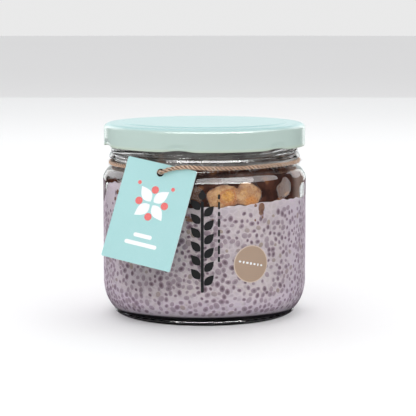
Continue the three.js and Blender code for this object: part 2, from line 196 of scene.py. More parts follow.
# Softboxes as azimuth and elevation, distance, width and height in metres, glow beside a white
# wall's, and colour
FILLS = {
    "front_fill": (-34, 14, 0.9, 1.2, 0.7, 0.62, WHITE),
    "left_fill": (-100, -4, 0.7, 0.6, 0.5, 1.3, LILAC),
    "right_fill": (100, -4, 0.7, 0.6, 0.5, 0.9, LILAC),
    "top_fill": (180, 62, 1.2, 1.2, 1.0, 1.2, WHITE),
}
FRONT_GLOSS = {
    "front_gloss": (4, 59, 0.75, 1.3, 0.28, 6.0, WHITE),
    "bead_gloss": (4, 43, 0.75, 1.4, 0.17, 15.0, WHITE),
    "side_gloss": (72, 50, 0.8, 0.8, 0.4, 4.0, WHITE),
}
BACK_GLOSS = {
    "back_gloss": (180, 8.6, 1.6, 1.8, 0.8, 0.95, (0.92, 1.0, 1.0)),
    "back_low": (180, -10.5, 1.6, 1.8, 0.26, 0.42, (1.0, 0.86, 1.0)),
    "left_gloss": (-132, 24, 1.2, 0.6, 0.5, 1.8, COOL),
    "right_gloss": (137, 22, 1.2, 0.4, 0.4, 1.6, COOL),
    "left_edge": (-152, 13, 1.2, 0.3, 0.8, 1.3, WHITE),
    "right_edge": (154, 13, 1.2, 0.3, 0.8, 1.2, WHITE),
}
ROOM_GLOW = 0.82
LIGHT_TARGET = (0, 0, 50)


# Numbers and places


def metres(*values):
    return tuple(value * 0.001 for value in values)


def paint(red, green, blue):
    """A colour from 0 to 255 as the eye sees it, for a shader socket."""
    linear = []
    for part in (red, green, blue):
        share = part / 255
        linear.append(share / 12.92 if share <= 0.04045 else ((share + 0.055) / 1.055) ** 2.4)
    return (*linear, 1.0)


def smooth(value, low, high):
    """0 below low, 1 above high and a soft step between."""
    share = np.clip((value - low) / (high - low), 0.0, 1.0)
    return share * share * (3 - 2 * share)


def bump(distance, half):
    """1 in the middle, falling softly to 0 at the half width."""
    return 0.5 + 0.5 * np.cos(np.pi * np.minimum(np.abs(distance) / half, 1.0))


def plateau(distance, inner, outer):
    """1 up to the inner distance, falling softly to 0 at the outer one."""
    return 1 - smooth(np.abs(distance), inner, outer)


def turn_from(azimuth, start):
    """Difference of two azimuths, from -180 to 180."""
    return np.mod(azimuth - start + 180, 360) - 180


def on_round(azimuth, radius, height):
    angle = math.radians(azimuth)
    return Vector((radius * math.sin(angle), -radius * math.cos(angle), height))


def bend(steps, *corners):
    """Points of a smooth bend with four corners."""
    a, b, c, d = (np.array(corner, float) for corner in corners)
    t = np.linspace(0, 1, steps + 1)[:, None]
    points = a * (1 - t) ** 3 + 3 * b * t * (1 - t) ** 2 + 3 * c * t * t * (1 - t) + d * t**3
    return [tuple(point) for point in points]


def line(steps, start, end):
    """Points between two ends, without the ends."""
    a, b = np.array(start, float), np.array(end, float)
    return [tuple(a + (b - a) * i / (steps + 1)) for i in range(1, steps + 1)]


def drawn(start, *parts):
    """An outline from a start, through lines of (steps, end) and bends of (steps, corner, corner, end)."""
    outline = [start]
    for steps, *corners in parts:
        if len(corners) == 1:
            outline += line(steps, outline[-1], corners[0]) + corners
        else:
            outline += bend(steps, outline[-1], *corners)[1:]
    return outline


def through(points, step):
    """A smooth route through points, sampled every step or so."""
    knots = [2 * points[0] - points[1], *points, 2 * points[-1] - points[-2]]
    route = []
    for i in range(len(points) - 1):
        a, b, c, d = knots[i : i + 4]
        ta = 0.0
        tb = ta + (b - a).length ** 0.5
        tc = tb + (c - b).length ** 0.5
        td = tc + (d - c).length ** 0.5
        count = max(2, round((c - b).length / step))
        for j in range(count):
            t = tb + (tc - tb) * j / count
            ab = a * ((tb - t) / (tb - ta)) + b * ((t - ta) / (tb - ta))
            bc = b * ((tc - t) / (tc - tb)) + c * ((t - tb) / (tc - tb))
            cd = c * ((td - t) / (td - tc)) + d * ((t - tc) / (td - tc))
            abc = ab * ((tc - t) / (tc - ta)) + bc * ((t - ta) / (tc - ta))
            bcd = bc * ((td - t) / (td - tb)) + cd * ((t - tb) / (td - tb))
            route.append(abc * ((tc - t) / (tc - tb)) + bcd * ((t - tb) / (tc - tb)))
    route.append(points[-1])
    return route


# Node trees


class Value:
    """A socket of a node tree that is added and multiplied like a number."""

    def __init__(self, graph, socket):
        self.graph = graph
        self.socket = socket

    def other(self, name):
        """Another output of the same node."""
        return Value(self.graph, self.socket.node.outputs[name])

    def maths(self, operation, *values):
        return self.graph.add("ShaderNodeMath", {"operation": operation}, dict(enumerate(values)))

    def __add__(self, value):
        return self.maths("ADD", self, value)

    def __radd__(self, value):
        return self.maths("ADD", value, self)

    def __sub__(self, value):
        return self.maths("SUBTRACT", self, value)

    def __rsub__(self, value):
        return self.maths("SUBTRACT", value, self)

    def __mul__(self, value):
        return self.maths("MULTIPLY", self, value)

    def __rmul__(self, value):
        return self.maths("MULTIPLY", value, self)

    def __truediv__(self, value):
        return self.maths("DIVIDE", self, value)

    def step(self, low, high):
        """0 below low and 1 above high, or the other way round where high is the lower."""
        sockets = {0: self, 1: low, 2: high} if low < high else {0: self, 1: high, 2: low, 3: 1.0, 4: 0.0}
        return self.graph.add("ShaderNodeMapRange", {"interpolation_type": "SMOOTHSTEP"}, sockets)

    def sine(self):
        return self.maths("SINE", self)

    def cosine(self):
        return self.maths("COSINE", self)


class Graph:
    """A node tree that one method fills."""

    def __init__(self, tree):
        self.tree = tree

    def add(self, kind, settings=None, sockets=None, out=0):
        node = self.tree.nodes.new(kind)
        for name, value in (settings or {}).items():
            setattr(node, name, value)
        for key, value in (sockets or {}).items():
            for part in value if isinstance(value, list) else [value]:
                self.join(part, node.inputs[key])
        return Value(self, node.outputs[out]) if len(node.outputs) else None

    def join(self, value, socket):
        if isinstance(value, Value):
            self.tree.links.new(value.socket, socket)
        else:
            socket.default_value = value

    def vector(self, operation, *values, out=0):
        return self.add("ShaderNodeVectorMath", {"operation": operation}, dict(enumerate(values)), out)

    def scaled(self, vector, factor):
        return self.add("ShaderNodeVectorMath", {"operation": "SCALE"}, {0: vector, "Scale": factor})


class Finish(Graph):
    """A material on one Principled shader, with numbers that are the same all over set on its sockets."""

    def __init__(self, name, **fixed):
        self.material = bpy.data.materials.new(name)
        self.material.use_nodes = True
        super().__init__(self.material.node_tree)
        self.shader = self.tree.nodes["Principled BSDF"]
        for socket, value in fixed.items():
            self.shader.inputs[socket.replace("_", " ").title().replace("Ior", "IOR")].default_value = value
        self.place = self.add("ShaderNodeTexCoord", out="Object")

    def feed(self, socket, value):
        self.join(value, self.shader.inputs[socket])

    def mix(self, factor, first, second):
        settings = {"data_type": "RGBA", "clamp_factor": True}
        return self.add("ShaderNodeMix", settings, {0: factor, 6: first, 7: second}, out=2)

    def pattern(self, size, stretch, shift):
        """Sockets of a pattern whose marks are about size millimetres across."""
        place = self.add("ShaderNodeMapping", None, {0: self.place, 1: (shift,) * 3, 3: stretch})
        return {"Vector": place, "Scale": 1000 / size}

    def noise(self, size, detail=2.0, stretch=(1, 1, 1), shift=0.0):
        sockets = {**self.pattern(size, stretch, shift), "Detail": detail}
        return self.add("ShaderNodeTexNoise", None, sockets)

    def cells(self, size, feature="F1", stretch=(1, 1, 1), shift=0.0):
        sockets = self.pattern(size, stretch, shift)
        return self.add("ShaderNodeTexVoronoi", {"feature": feature}, sockets, "Distance")

    def attribute(self, name):
        return self.add("ShaderNodeAttribute", {"attribute_name": name}, out="Fac")

    def height(self):
        """Height above the base, in millimetres."""
        return self.add("ShaderNodeSeparateXYZ", None, {0: self.place}, out=2) * 1000

    def painted(self, colour, height, depth):
        """The material with its colour, and with bumps of a depth in millimetres."""
        self.feed("Base Color", colour)
        sockets = {"Height": height, "Distance": depth * 0.001, "Strength": 1.0}
        self.feed("Normal", self.add("ShaderNodeBump", None, sockets))
        return self.material


class Growth(Graph):
    """A geometry tree with named inputs, which makes a plain mesh from a mesh or a curve."""

    def __init__(self, name, values):
        super().__init__(bpy.data.node_groups.new(name, "GeometryNodeTree"))
        self.values = values
        self.tree.interface.new_socket("Geometry", in_out="INPUT", socket_type="NodeSocketGeometry")
        for label, value in values.items():
            kind = "NodeSocketInt" if isinstance(value, int) else "NodeSocketFloat"
            self.tree.interface.new_socket(label, in_out="INPUT", socket_type=kind)
        self.tree.interface.new_socket("Geometry", in_out="OUTPUT", socket_type="NodeSocketGeometry")
        self.given = self.add("NodeGroupInput")

    def store(self, geometry, name, value, kind="FLOAT", domain="POINT"):
        """Keeps a value on a geometry as a named attribute."""
        settings = {"data_type": kind, "domain": domain}
        sockets = {0: geometry, "Name": name, "Value": value}
        return self.add("GeometryNodeStoreNamedAttribute", settings, sockets)

    def chance(self, low, high, seed):
        """A random number for each point."""
        sockets = {2: low, 3: high, "Seed": seed}
        return self.add("FunctionNodeRandomValue", {"data_type": "FLOAT"}, sockets, out=1)

    def planted(self, points, shape, angle, size):
        """A copy of a shape on each point of a surface, turned by an angle round the way out."""
        spin = self.add("ShaderNodeCombineXYZ", None, {2: angle})
        spin = self.add("FunctionNodeEulerToRotation", None, {0: spin})
        sockets = {0: points.other("Rotation"), 1: spin}
        turn = self.add("FunctionNodeRotateRotation", {"rotation_space": "LOCAL"}, sockets)
        sockets = {"Points": points, "Instance": shape, "Rotation": turn, "Scale": size}
        return self.add("GeometryNodeInstanceOnPoints", None, sockets)

    def grow(self, data, geometry, material, name):
        """Ends the tree, and turns mesh or curve data into its plain mesh."""
        whole = self.add("GeometryNodeRealizeInstances", None, {0: geometry})
        painted = self.add("GeometryNodeSetMaterial", None, {0: whole, "Material": material})
        self.add("NodeGroupOutput", None, {0: painted})
        base = in_scene(name + "_base", data)
        modifier = base.modifiers.new("grow", "NODES")
        modifier.node_group = self.tree
        for item in self.tree.interface.items_tree:
            if item.name in self.values:
                modifier[item.identifier] = self.values[item.name]
        mesh = plain_mesh(base, name)
        mesh.shade_smooth()
        return mesh


# Meshes


def in_scene(name, data):
    holder = bpy.data.objects.new(name, data)
    bpy.context.scene.collection.objects.link(holder)
    return holder


def plain_mesh(holder, name):
    """The mesh that an object comes to with its modifiers, in place of the object."""
    mesh = bpy.data.meshes.new_from_object(holder.evaluated_get(bpy.context.evaluated_depsgraph_get()))
    mesh.name = name
    bpy.data.objects.remove(holder)
    return mesh


def dressed(mesh, finish=None, replaces=None):
    """Puts a finished mesh in the scene as a piece of the one body."""
    piece = in_scene(mesh.name, mesh)
    if finish:
        mesh.materials.clear()
        mesh.materials.append(finish)
    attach(piece, "root")
    if replaces:
        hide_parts(replaces)
    return piece


def mesh_of(name, points, faces):
    """A smooth mesh from points in millimetres."""
    mesh = bpy.data.meshes.new(name)
    mesh.from_pydata((np.asarray(points, float) * 0.001).tolist(), [], faces)
    mesh.shade_smooth()
    mesh.validate()
    return mesh


def set_attribute(mesh, name, values):
    layer = mesh.attributes.new(name, "FLOAT", "POINT")
    layer.data.foreach_set("value", np.asarray(values, np.float32).ravel())


def with_poles(values):
    """Values of a turned mesh's rows, with 0 for its two ends on the axis."""
    return np.concatenate([[0.0], values.ravel(), [0.0]])


def round_points(azimuth, radius, height):
    """Points from arrays of azimuths, radii and heights."""
    angle = np.radians(azimuth)
    return np.stack([radius * np.sin(angle), -radius * np.cos(angle), height], -1)


def grid_faces(rows, steps, first=0):
    """Faces of a tube of rows by steps points, outwards where the rows go up."""
    faces = []
    for i in range(rows - 1):
        low, high = first + i * steps, first + (i + 1) * steps
        for j in range(steps):
            k = (j + 1) % steps
            faces.append((low + j, low + k, high + k, high + j))
    return faces


def turned(name, outline, steps, shape):
    """Turns an outline of (radius, height), from axis to axis, round Z. shape moves its rows."""
    outline = np.array(outline, float)
    azimuth = (np.arange(steps) * 360 / steps)[None, :]
    radius = np.repeat(outline[1:-1, :1], steps, 1)
    height = np.repeat(outline[1:-1, 1:], steps, 1)
    rows = round_points(azimuth, *shape(radius, height, azimuth))
    points = np.vstack([[(0, 0, outline[0, 1])], rows.reshape(-1, 3), [(0, 0, outline[-1, 1])]])
    faces = grid_faces(len(rows), steps, 1)
    last = len(points) - 1
    for j in range(steps):
        k = (j + 1) % steps
        faces.append((0, 1 + k, 1 + j))
        faces.append((last, last - steps + j, last - steps + k))
    return mesh_of(name, points, faces)


# Inner faces of the glass, moved in by inset


def inner_base(inset):
    """The floor and the heel."""
    low, wall = FLOOR_EDGE + inset, INSIDE_RADIUS - inset
    return drawn(
        (0, FLOOR_MIDDLE + inset),
        (14, (12, FLOOR_MIDDLE + inset), (22, low), (33, low)),
        (0, (33.5 - inset / 2, low)),
        (14, (38.6 - inset, low), (wall, 8.6), (wall, HEEL_TOP)),
    )


def inner_shoulder(inset):
    """From the wall up to the mouth."""
    wall, mouth = INSIDE_RADIUS - inset, MOUTH_RADIUS - inset
    return drawn(
        (wall, SHOULDER_START - 1.4 - inset),
        (22, (wall, 61.4 - inset), (mouth, 62.4 - inset), (mouth, NECK_START + 0.8 - inset)),
    )


def glass_reach(height):
    """Radius inside the glass at a height."""
    points = np.array([(INSIDE_RADIUS, 0), *inner_shoulder(0), (MOUTH_RADIUS, 90)])
    return np.interp(height, points[:, 1], points[:, 0])


def pudding_height(radius, azimuth):
    """Height of the boundary between the pudding and the topping."""
    angle = np.radians(azimuth)
    edge = smooth(radius, 34, 39.5)
    tilt = TILT_RISE * np.cos(np.radians(azimuth - TILT_AZIMUTH))
    waves = 0.12 * np.sin(7 * angle + 2.1) - 0.42 * np.cos(4 * angle)
    smear = SMEAR_RISE * plateau(turn_from(azimuth, SMEAR_AZIMUTH), SMEAR_INNER, SMEAR_OUTER)
    nibbles = 0.2 * np.sin(23 * angle + 1.0) + 0.26 * np.sin(53 * angle + 2.0) * np.sin(5 * angle)
    dish = 1.2 * (1 - edge) * np.sin(2 * angle + radius / 9)
    return PUDDING_TOP + dish + edge * (tilt + waves + smear + nibbles)


# Glass jar


def leaning(start, height, slope):
    """The end of a straight face that rises from its start by height and leans back by the slope."""
    return start[0] - height * math.tan(math.radians(slope)), start[1] + height


def jar_outside():
    """Foot, low ridge, heel, body, shoulder, neck, bead, thread land and rim."""
    ridge, lean = (RIDGE_RADIUS, RIDGE_HEIGHT), (42.2, 59.8)
    low, high = BEAD_HEIGHT - BEAD_HALF, BEAD_HEIGHT + BEAD_HALF
    bead = (BEAD_RADIUS - 0.03, BEAD_HEIGHT - 0.05)
    return drawn(
        (0, 3.0),
        (14, (13, 2.9), (24, 2.2), (FOOT_INNER, 0)),
        (4, (FOOT_OUTER, 0)),
        (12, (35.8, 0.1), (37.4, 0.7), (38.05, 1.3)),
        (4, (RIDGE_RADIUS, 1.45), (RIDGE_RADIUS + 0.06, RIDGE_HEIGHT - 0.12), ridge),
        (4, leaning(ridge, 0.5, RIDGE_SLOPE)),
        (4, (37.95, 2.35), (38.3, 2.45), (HEEL_RADIUS, HEEL_LOW)),
        (26, (40.6, 4.8), (42.5, 8.0), (BODY_RADIUS, HEEL_TOP)),
        (16, (BODY_RADIUS, SHOULDER_START)),
        (14, (BODY_RADIUS, 58.2), (42.85, 58.8), lean),
        (4, leaning(lean, 1.1, SHOULDER_SLOPE)),
        (16, (40.7, 62.4), (NECK_RADIUS, 62.2), (NECK_RADIUS, NECK_START)),
        (3, (NECK_RADIUS, low)),
        (8, (39.5, low + 0.05), (BEAD_RADIUS, low + 0.2), bead),
        (4, leaning(bead, 1.15, BEAD_SLOPE)),
        (7, (39.45, high + 0.2), (39.0, high + 0.3), (LAND_RADIUS, high + 0.5)),
        (34, (LAND_RADIUS, THREAD_TOP)),
        (2, (LAND_RADIUS, RIM_TOP - 0.8)),
        (5, (LAND_RADIUS, RIM_TOP), (LAND_RADIUS - 0.3, RIM_TOP), (LAND_RADIUS - 0.9, RIM_TOP)),
    )


def jar_inside():
    """From the rim down the neck, the shoulder and the wall to the middle of the floor."""
    rim = drawn(
        (MOUTH_RADIUS + 0.8, RIM_TOP),
        (5, (MOUTH_RADIUS + 0.2, RIM_TOP), (MOUTH_RADIUS, RIM_TOP - 0.3), (MOUTH_RADIUS, RIM_TOP - 0.9)),
        (8, (MOUTH_RADIUS, NECK_START + 0.8)),
    )
    shoulder, base = inner_shoulder(0)[::-1], inner_base(0)[::-1]
    return [*rim, *shoulder[1:], *line(8, shoulder[-1], base[0]), *base]


def thread_reach(height, azimuth):
    """Radius of the rising ridges on the neck, or 0 beside them."""
    reach = np.zeros(np.broadcast(height, azimuth).shape)
    for i in range(THREAD_COUNT):
        start = THREAD_START + i * 360 / THREAD_COUNT
        along = turn_from(azimuth, start + THREAD_SWEEP / 2) + THREAD_SWEEP / 2
        across = np.clip((height - np.interp(along, *THREAD_CLIMB)) / THREAD_HALF, -1, 1)
        ends = smooth(along, -2, 6) * smooth(along, THREAD_SWEEP + 2, THREAD_SWEEP - 6)
        ridge = LAND_RADIUS + THREAD_HALF * np.sqrt(1 - across**2) * ends
        reach = np.maximum(reach, np.where(np.abs(across) < 1, ridge, 0))
    return reach


def wavering(height, azimuth, size):
    """The slow waves of moulded glass."""
    angle = np.radians(azimuth)
    waves = np.sin(2 * angle + height / 7) + np.sin(5 * angle - height / 4.5 + 1.0)
    return size * (waves + 0.7 * np.sin(9 * angle + height / 3.1 + 2.0))


def jar():
    outside, inside = jar_outside(), jar_inside()
    stipple = []

    def shape(radius, height, azimuth):
        rows = np.arange(len(radius))[:, None]
        outer = rows < len(outside) - 1
        neck = outer & (height > BEAD_HEIGHT + BEAD_HALF + 0.4) & (height < THREAD_TOP)
        foot = outer & (radius > FOOT_INNER - 2) & (radius < FOOT_OUTER + 1.8) & (height < 0.9)
        waves = wavering(height, azimuth, np.where(outer, WAVE_OUTSIDE, WAVE_INSIDE))
        still = smooth(height, 8, 16) * smooth(height, 66, 62)
        seam = np.where(outer, mould_seam(azimuth), 0)
        stipple.append(np.where(outer, stippled(height, azimuth), 0.0))
        moved = np.where(neck, np.maximum(radius, thread_reach(height, azimuth)), radius + waves * still)
        seamed = moved + seam * smooth(height, 3, 6) * (height < 66)
        return seamed, np.where(foot, height + knurl(radius, azimuth), height)

    mesh = turned("glass_jar", [*outside, *inside], JAR_STEPS, shape)
    set_attribute(mesh, "stipple", with_poles(stipple[0]))
    dressed(mesh, clear_glass(), "jar").visible_shadow = False


def mould_seam(azimuth):
    """How far the seam stands out."""
    away = np.abs(turn_from(azimuth, SEAM_AZIMUTH))
    return SEAM_RISE * bump(np.minimum(away, 180 - away), SEAM_HALF)


def knurl(radius, azimuth):
    """How far the foot ring is hollowed between its bearing ridges."""
    ring = bump(radius - (FOOT_INNER + FOOT_OUTER) / 2, KNURL_HALF)
    return KNURL_RISE * (0.5 - 0.5 * np.cos(KNURLS * np.radians(azimuth))) * ring


def stippled(height, azimuth):
    """Where the neck carries a mould maker's stippling, between the bead and the lid."""
    patches = sum(bump(turn_from(azimuth, middle), half) for middle, half in STIPPLES)
    return np.minimum(1, 1.6 * patches) * bump(height - STIPPLE_HEIGHT, STIPPLE_HALF)


def clear_glass():
    finish = Finish("clear_glass", roughness=0.015, ior=1.5, transmission_weight=1.0)
    colour = paint(247, 251, 250)
    grain = finish.cells(0.55)
    streaks = finish.noise(5.0, 2.0, (1, 1, 0.35))
    return finish.painted(colour, grain * finish.attribute("stipple") * 0.25 + streaks * 0.03, 1.0)


# Twist-off lid


def lid_outline():
    """The thin shell's under side from the axis out to the rolled edge, and back over the top."""
    under, below = LID_RADIUS - LID_SHEET, LID_TOP - LID_SHEET
    raised = LID_TOP + PANEL_RISE
    ring, flat = PANEL_RADIUS + PANEL_SLOPE, LID_RADIUS - CORNER_IN
    low, roll, lip = LID_TOP - CORNER_DOWN, LID_BOTTOM + LID_CURL, LID_BOTTOM + 3 * LID_CURL
    return drawn(
        (0, raised - LID_SHEET),
        (5, (PANEL_RADIUS, raised - LID_SHEET)),
        (10, (PANEL_RADIUS + 0.7, raised - LID_SHEET), (ring - 0.7, below), (ring, below)),
        (3, (flat, below)),
        (8, (under - 1.1, below), (under, low + 0.7), (under, low - LID_SHEET)),
        (6, (under, lip)),
        (8, (under - 0.7, lip - 0.4 * LID_CURL), (under - 0.8, LID_BOTTOM + 0.1), (under, LID_BOTTOM)),
        (8, (LID_RADIUS - 0.1, LID_BOTTOM - 0.02), (LID_RADIUS, roll - 0.25), (LID_RADIUS, roll + 0.1)),
        (8, (LID_RADIUS, roll + 0.6), (LID_RADIUS - 0.12, roll + 0.5), (LID_RADIUS - 0.1, roll + 1.1)),
        (14, (LID_RADIUS, low)),
        (16, (LID_RADIUS, low + 1.1), (flat + 1.6, LID_TOP), (flat, LID_TOP)),
        (5, (ring, LID_TOP)),
        (10, (ring - 0.7, LID_TOP), (PANEL_RADIUS + 0.7, raised), (PANEL_RADIUS, raised)),
        (8, (0, raised)),
    )


def press_lugs(radius, height, azimuth):
    """The skirt is pressed in over each lug, in an arch whose lower edge lifts a little."""
    spacing = 360 / LUG_COUNT
    from_first = turn_from(azimuth, LUG_AZIMUTH)
    along = bump(from_first - spacing * np.round(from_first / spacing), LUG_HALF)
    up = bump(np.maximum(height - LID_BOTTOM, 0), LUG_DENT_HEIGHT)
    skirt = radius > LID_RADIUS - CORNER_IN
    pressed = LUG_DENT * smooth(along * up, 0.05, 0.75)
    lifted = LUG_LIFT * along * bump(height - LID_BOTTOM, LUG_DENT_HEIGHT)
    return np.where(skirt, radius - pressed, radius), np.where(skirt, height + lifted, height)


def lid():
    mesh = turned("mint_lid", lid_outline(), 288, press_lugs)
    dressed(mesh, mint_paint(), "lid")


def mint_paint():
    finish = Finish("mint_paint", roughness=0.35, ior=1.5, coat_weight=0.35, coat_roughness=0.12)
    blots = finish.noise(9.0, 3.0)
    height = finish.height()
    low = height.step(LID_BOTTOM + 1.8, LID_BOTTOM)
    plain = finish.mix(blots, paint(184, 205, 197), paint(190, 210, 203))
    # Painted light: the top panel is a lighter, bluer mint than the skirt, for the light from above
    top = finish.mix(height.step(LID_TOP - 1.6, LID_TOP), plain, paint(192, 230, 231))
    colour = finish.mix(low * 0.6, top, paint(198, 208, 184))
    return finish.painted(colour, finish.noise(0.9, 2.0) + finish.noise(4.0, 1.0) * 2.0, 0.004)


# Pudding and its seeds


def pudding():
    wall = INSIDE_RADIUS + INTO_WALL
    base = inner_base(-INTO_WALL)
    side = line(40, base[-1], (wall, PUDDING_TOP))
    rims = [(radius, PUDDING_TOP) for radius in (wall, 40.5, 39.9, 39.0, 37.8, 36, 33, 26, 18, 9, 0)]
    # The turned rows leave out the first point, on the axis
    first_side, first_rim = len(base) - 1, len(base) + len(side) - 1

    def shape(radius, height, azimuth):
        rows = np.arange(len(radius))[:, None]
        brim = pudding_height(radius, azimuth)
        share = (height - HEEL_TOP) / (PUDDING_TOP - HEEL_TOP)
        climbing = np.where(rows >= first_side, HEEL_TOP + share * (brim - HEEL_TOP), height)
        return radius, np.where(rows >= first_rim, brim, climbing)

    mesh = turned("chia_pudding_body", [*base, *side, *rims], 240, shape)
    dressed(mesh, pudding_cream(), "chia_pudding")


def lilac_and_painted_light(finish):
    """How far the pudding turns a lighter lilac: 0 at the front and back, and 1 at the sides and low down.
    It is partly the pudding's own lilac tint and partly painted light.
    """
    forward = finish.vector("DOT_PRODUCT", finish.place, (0, -1, 0), out="Value") * 1000
    sides = (forward * forward).step(*LILAC_AND_LIGHT_SQUARES)
    return (sides * 0.8 + finish.height().step(*LILAC_AND_LIGHT_HEIGHTS) * 0.8).step(0.0, 1.0)


def pudding_cream():
    finish = Finish("pudding_cream", roughness=0.55, ior=1.38, specular_ior_level=0.2)
    veins = finish.cells(2.9, "DISTANCE_TO_EDGE", (1, 1, 1.15))
    ghosts = finish.cells(2.6, "F1", (1, 1, 1.2), 0.013)
    cloud = finish.noise(14.0, 3.0)
    fine = finish.noise(1.4, 3.0)
    below = finish.height().step(PUDDING_TOP - 3.0, PUDDING_TOP - 12.0)
    front = finish.mix(cloud.step(0.35, 0.65), paint(214, 200, 202), paint(203, 188, 197))
    # Lighter lilac at the sides and low down: partly own tint, partly painted light
    cream = finish.mix(lilac_and_painted_light(finish) * 0.8, front, paint(238, 221, 238))
    shaded = finish.mix(ghosts.step(0.5, 0.12) * below * 0.5, cream, paint(170, 152, 162))
    pale = finish.mix(veins.step(0.2, 0.02) * 0.5, shaded, paint(226, 213, 218))
    warm = finish.mix(fine.step(0.55, 0.8) * 0.3, pale, paint(220, 206, 190))
    # Painted shade: below about 5 mm the pudding's underside turns nearly black, for the dark under the base
    colour = finish.mix(finish.height().step(5.1, 4.5), warm, paint(30, 25, 28))
    return finish.painted(colour, fine + veins.step(0.2, 0.0) * 0.5, 0.12)


def seed_bed():
    """The pudding's side, which the seeds lie on."""
    wall = INSIDE_RADIUS + INTO_WALL
    outline = [point for point in inner_base(-INTO_WALL) if point[0] > 37.5]
    outline += line(30, outline[-1], (wall, PUDDING_TOP + 0.2))
    steps = 180
    azimuth = np.arange(steps) * 360 / steps
    rows = []
    for radius, height in outline:
        share = max(0.0, (height - HEEL_TOP) / (PUDDING_TOP - HEEL_TOP))
        rise = share * (pudding_height(wall, azimuth) - SEED_BELOW - PUDDING_TOP)
        rows.append(round_points(azimuth, radius, height + rise))
    return mesh_of("seed_bed", np.concatenate(rows), grid_faces(len(rows), steps))


def seed_shape(growth):
    """A flat ball that keeps how far each of its points is from its middle."""
    ball = growth.add("GeometryNodeMeshUVSphere", None, {"Segments": 10, "Rings": 6, "Radius": 1.0})
    flat = growth.vector("MULTIPLY", growth.add("GeometryNodeInputPosition"), (1, 1, 0))
    ball = growth.store(ball, "core", growth.vector("LENGTH", flat, out="Value"))
    return growth.add("GeometryNodeTransform", None, {0: ball, "Scale": metres(*SEED_HALVES)})


def seeds():
    growth = Growth("scatter_seeds", {
        "Spacing": SEED_SPACING * 0.001,
        "Density": SEED_DENSITY * 1e6,
        "Brim": PUDDING_TOP * 0.001,
        "Seed": 5,
    })
    given = growth.given
    place = growth.add("GeometryNodeInputPosition")
    below = (given.other("Brim") - growth.add("ShaderNodeSeparateXYZ", None, {0: place}, out=2)) * 1000
    sockets = {
        0: given,
        "Distance Min": given.other("Spacing"),
        "Density Max": given.other("Density"),
        "Density Factor": below.step(0.0, SEED_THINNING) * 0.75 + 0.25,
        "Seed": given.other("Seed"),
    }
    method = {"distribute_method": "POISSON"}
    points = growth.add("GeometryNodeDistributePointsOnFaces", method, sockets)
    spin, size, tint = (
        growth.chance(low, high, given.other("Seed") + i + 1)
        for i, (low, high) in enumerate([(0.0, 6.283), (0.6, 1.2), (0.0, 1.0)])
    )
    placed = growth.planted(points, seed_shape(growth), spin, size)
    placed = growth.store(placed, "tint", tint, domain="INSTANCE")
    dressed(growth.grow(seed_bed(), placed, chia_seed(), "chia_seeds"))


def chia_seed():
    """Grey-violet seeds, some with a dark heart, that fade into the pudding through their gel."""
    finish = Finish("chia_seed", roughness=0.5, ior=1.38, specular_ior_level=0.2)
    core = finish.attribute("core")
    tint = finish.attribute("tint")
    gel = finish.mix(tint, paint(154, 132, 145), paint(178, 160, 169))
    warm = finish.mix(tint.step(0.9, 0.98), gel, paint(180, 162, 152))
    heart = finish.mix(tint.step(0.3, 0.7), paint(116, 95, 104), paint(164, 147, 155))
    dotted = finish.mix((core + tint * 0.3).step(0.6, 0.3), warm, heart)
    # Seeds at the sides and low down turn lighter and more lilac, like the pudding round them: partly own
    # tint, partly painted light
    lit = finish.mix(lilac_and_painted_light(finish) * 0.3, dotted, paint(214, 188, 212))
    rim = finish.mix(lilac_and_painted_light(finish), paint(208, 193, 198), paint(232, 214, 230))
    colour = finish.mix(core.step(0.72, 0.96), lit, rim)
    return finish.painted(colour, finish.noise(0.5, 2.0), 0.03)


# Sauce, apple cubes and drips


def apple_windows():
    """Where apple presses through the sauce: azimuth, height, half width, half height, roll and depth."""
    chances = np.random.default_rng(21)
    for ring, i, sides, _, _, place in cube_places():
        clear = chances.uniform(0.0, 0.8)
        if ring == 0 and i in FRONT_APPLES:
            azimuth, height, width, tall, roll, soak = FRONT_APPLES[i]
            yield azimuth, height, width / 2, tall / 2, roll, RECESS * (1 - 0.85 * soak)
        elif ring == 0:
            azimuth = math.degrees(math.atan2(place.x, -place.y))
            yield azimuth, place.z, sides[0] * 0.4, sides[2] * 0.33, 20 * (clear - 0.4), clear


def recess(azimuth, height, windows):
    """How far the sauce stands back from the glass."""
    depth = np.zeros(np.broadcast(azimuth, height).shape)
    for place, level, half_width, half_height, roll, clear in windows:
        right, up = np.radians(turn_from(azimuth, place)) * INSIDE_RADIUS, height - level
        cosine, sine = math.cos(math.radians(roll)), math.sin(math.radians(roll))
        across = (right * cosine + up * sine) / half_width
        along = (up * cosine - right * sine) / half_height
        away = (np.abs(across) ** WINDOW_POWER + np.abs(along) ** WINDOW_POWER) ** (1 / WINDOW_POWER)
        away = away + 0.05 * np.sin(5 * np.arctan2(along, across) + level)
        depth = np.maximum(depth, clear * (1 - smooth(away, 0.84, 1.0)))
    return depth


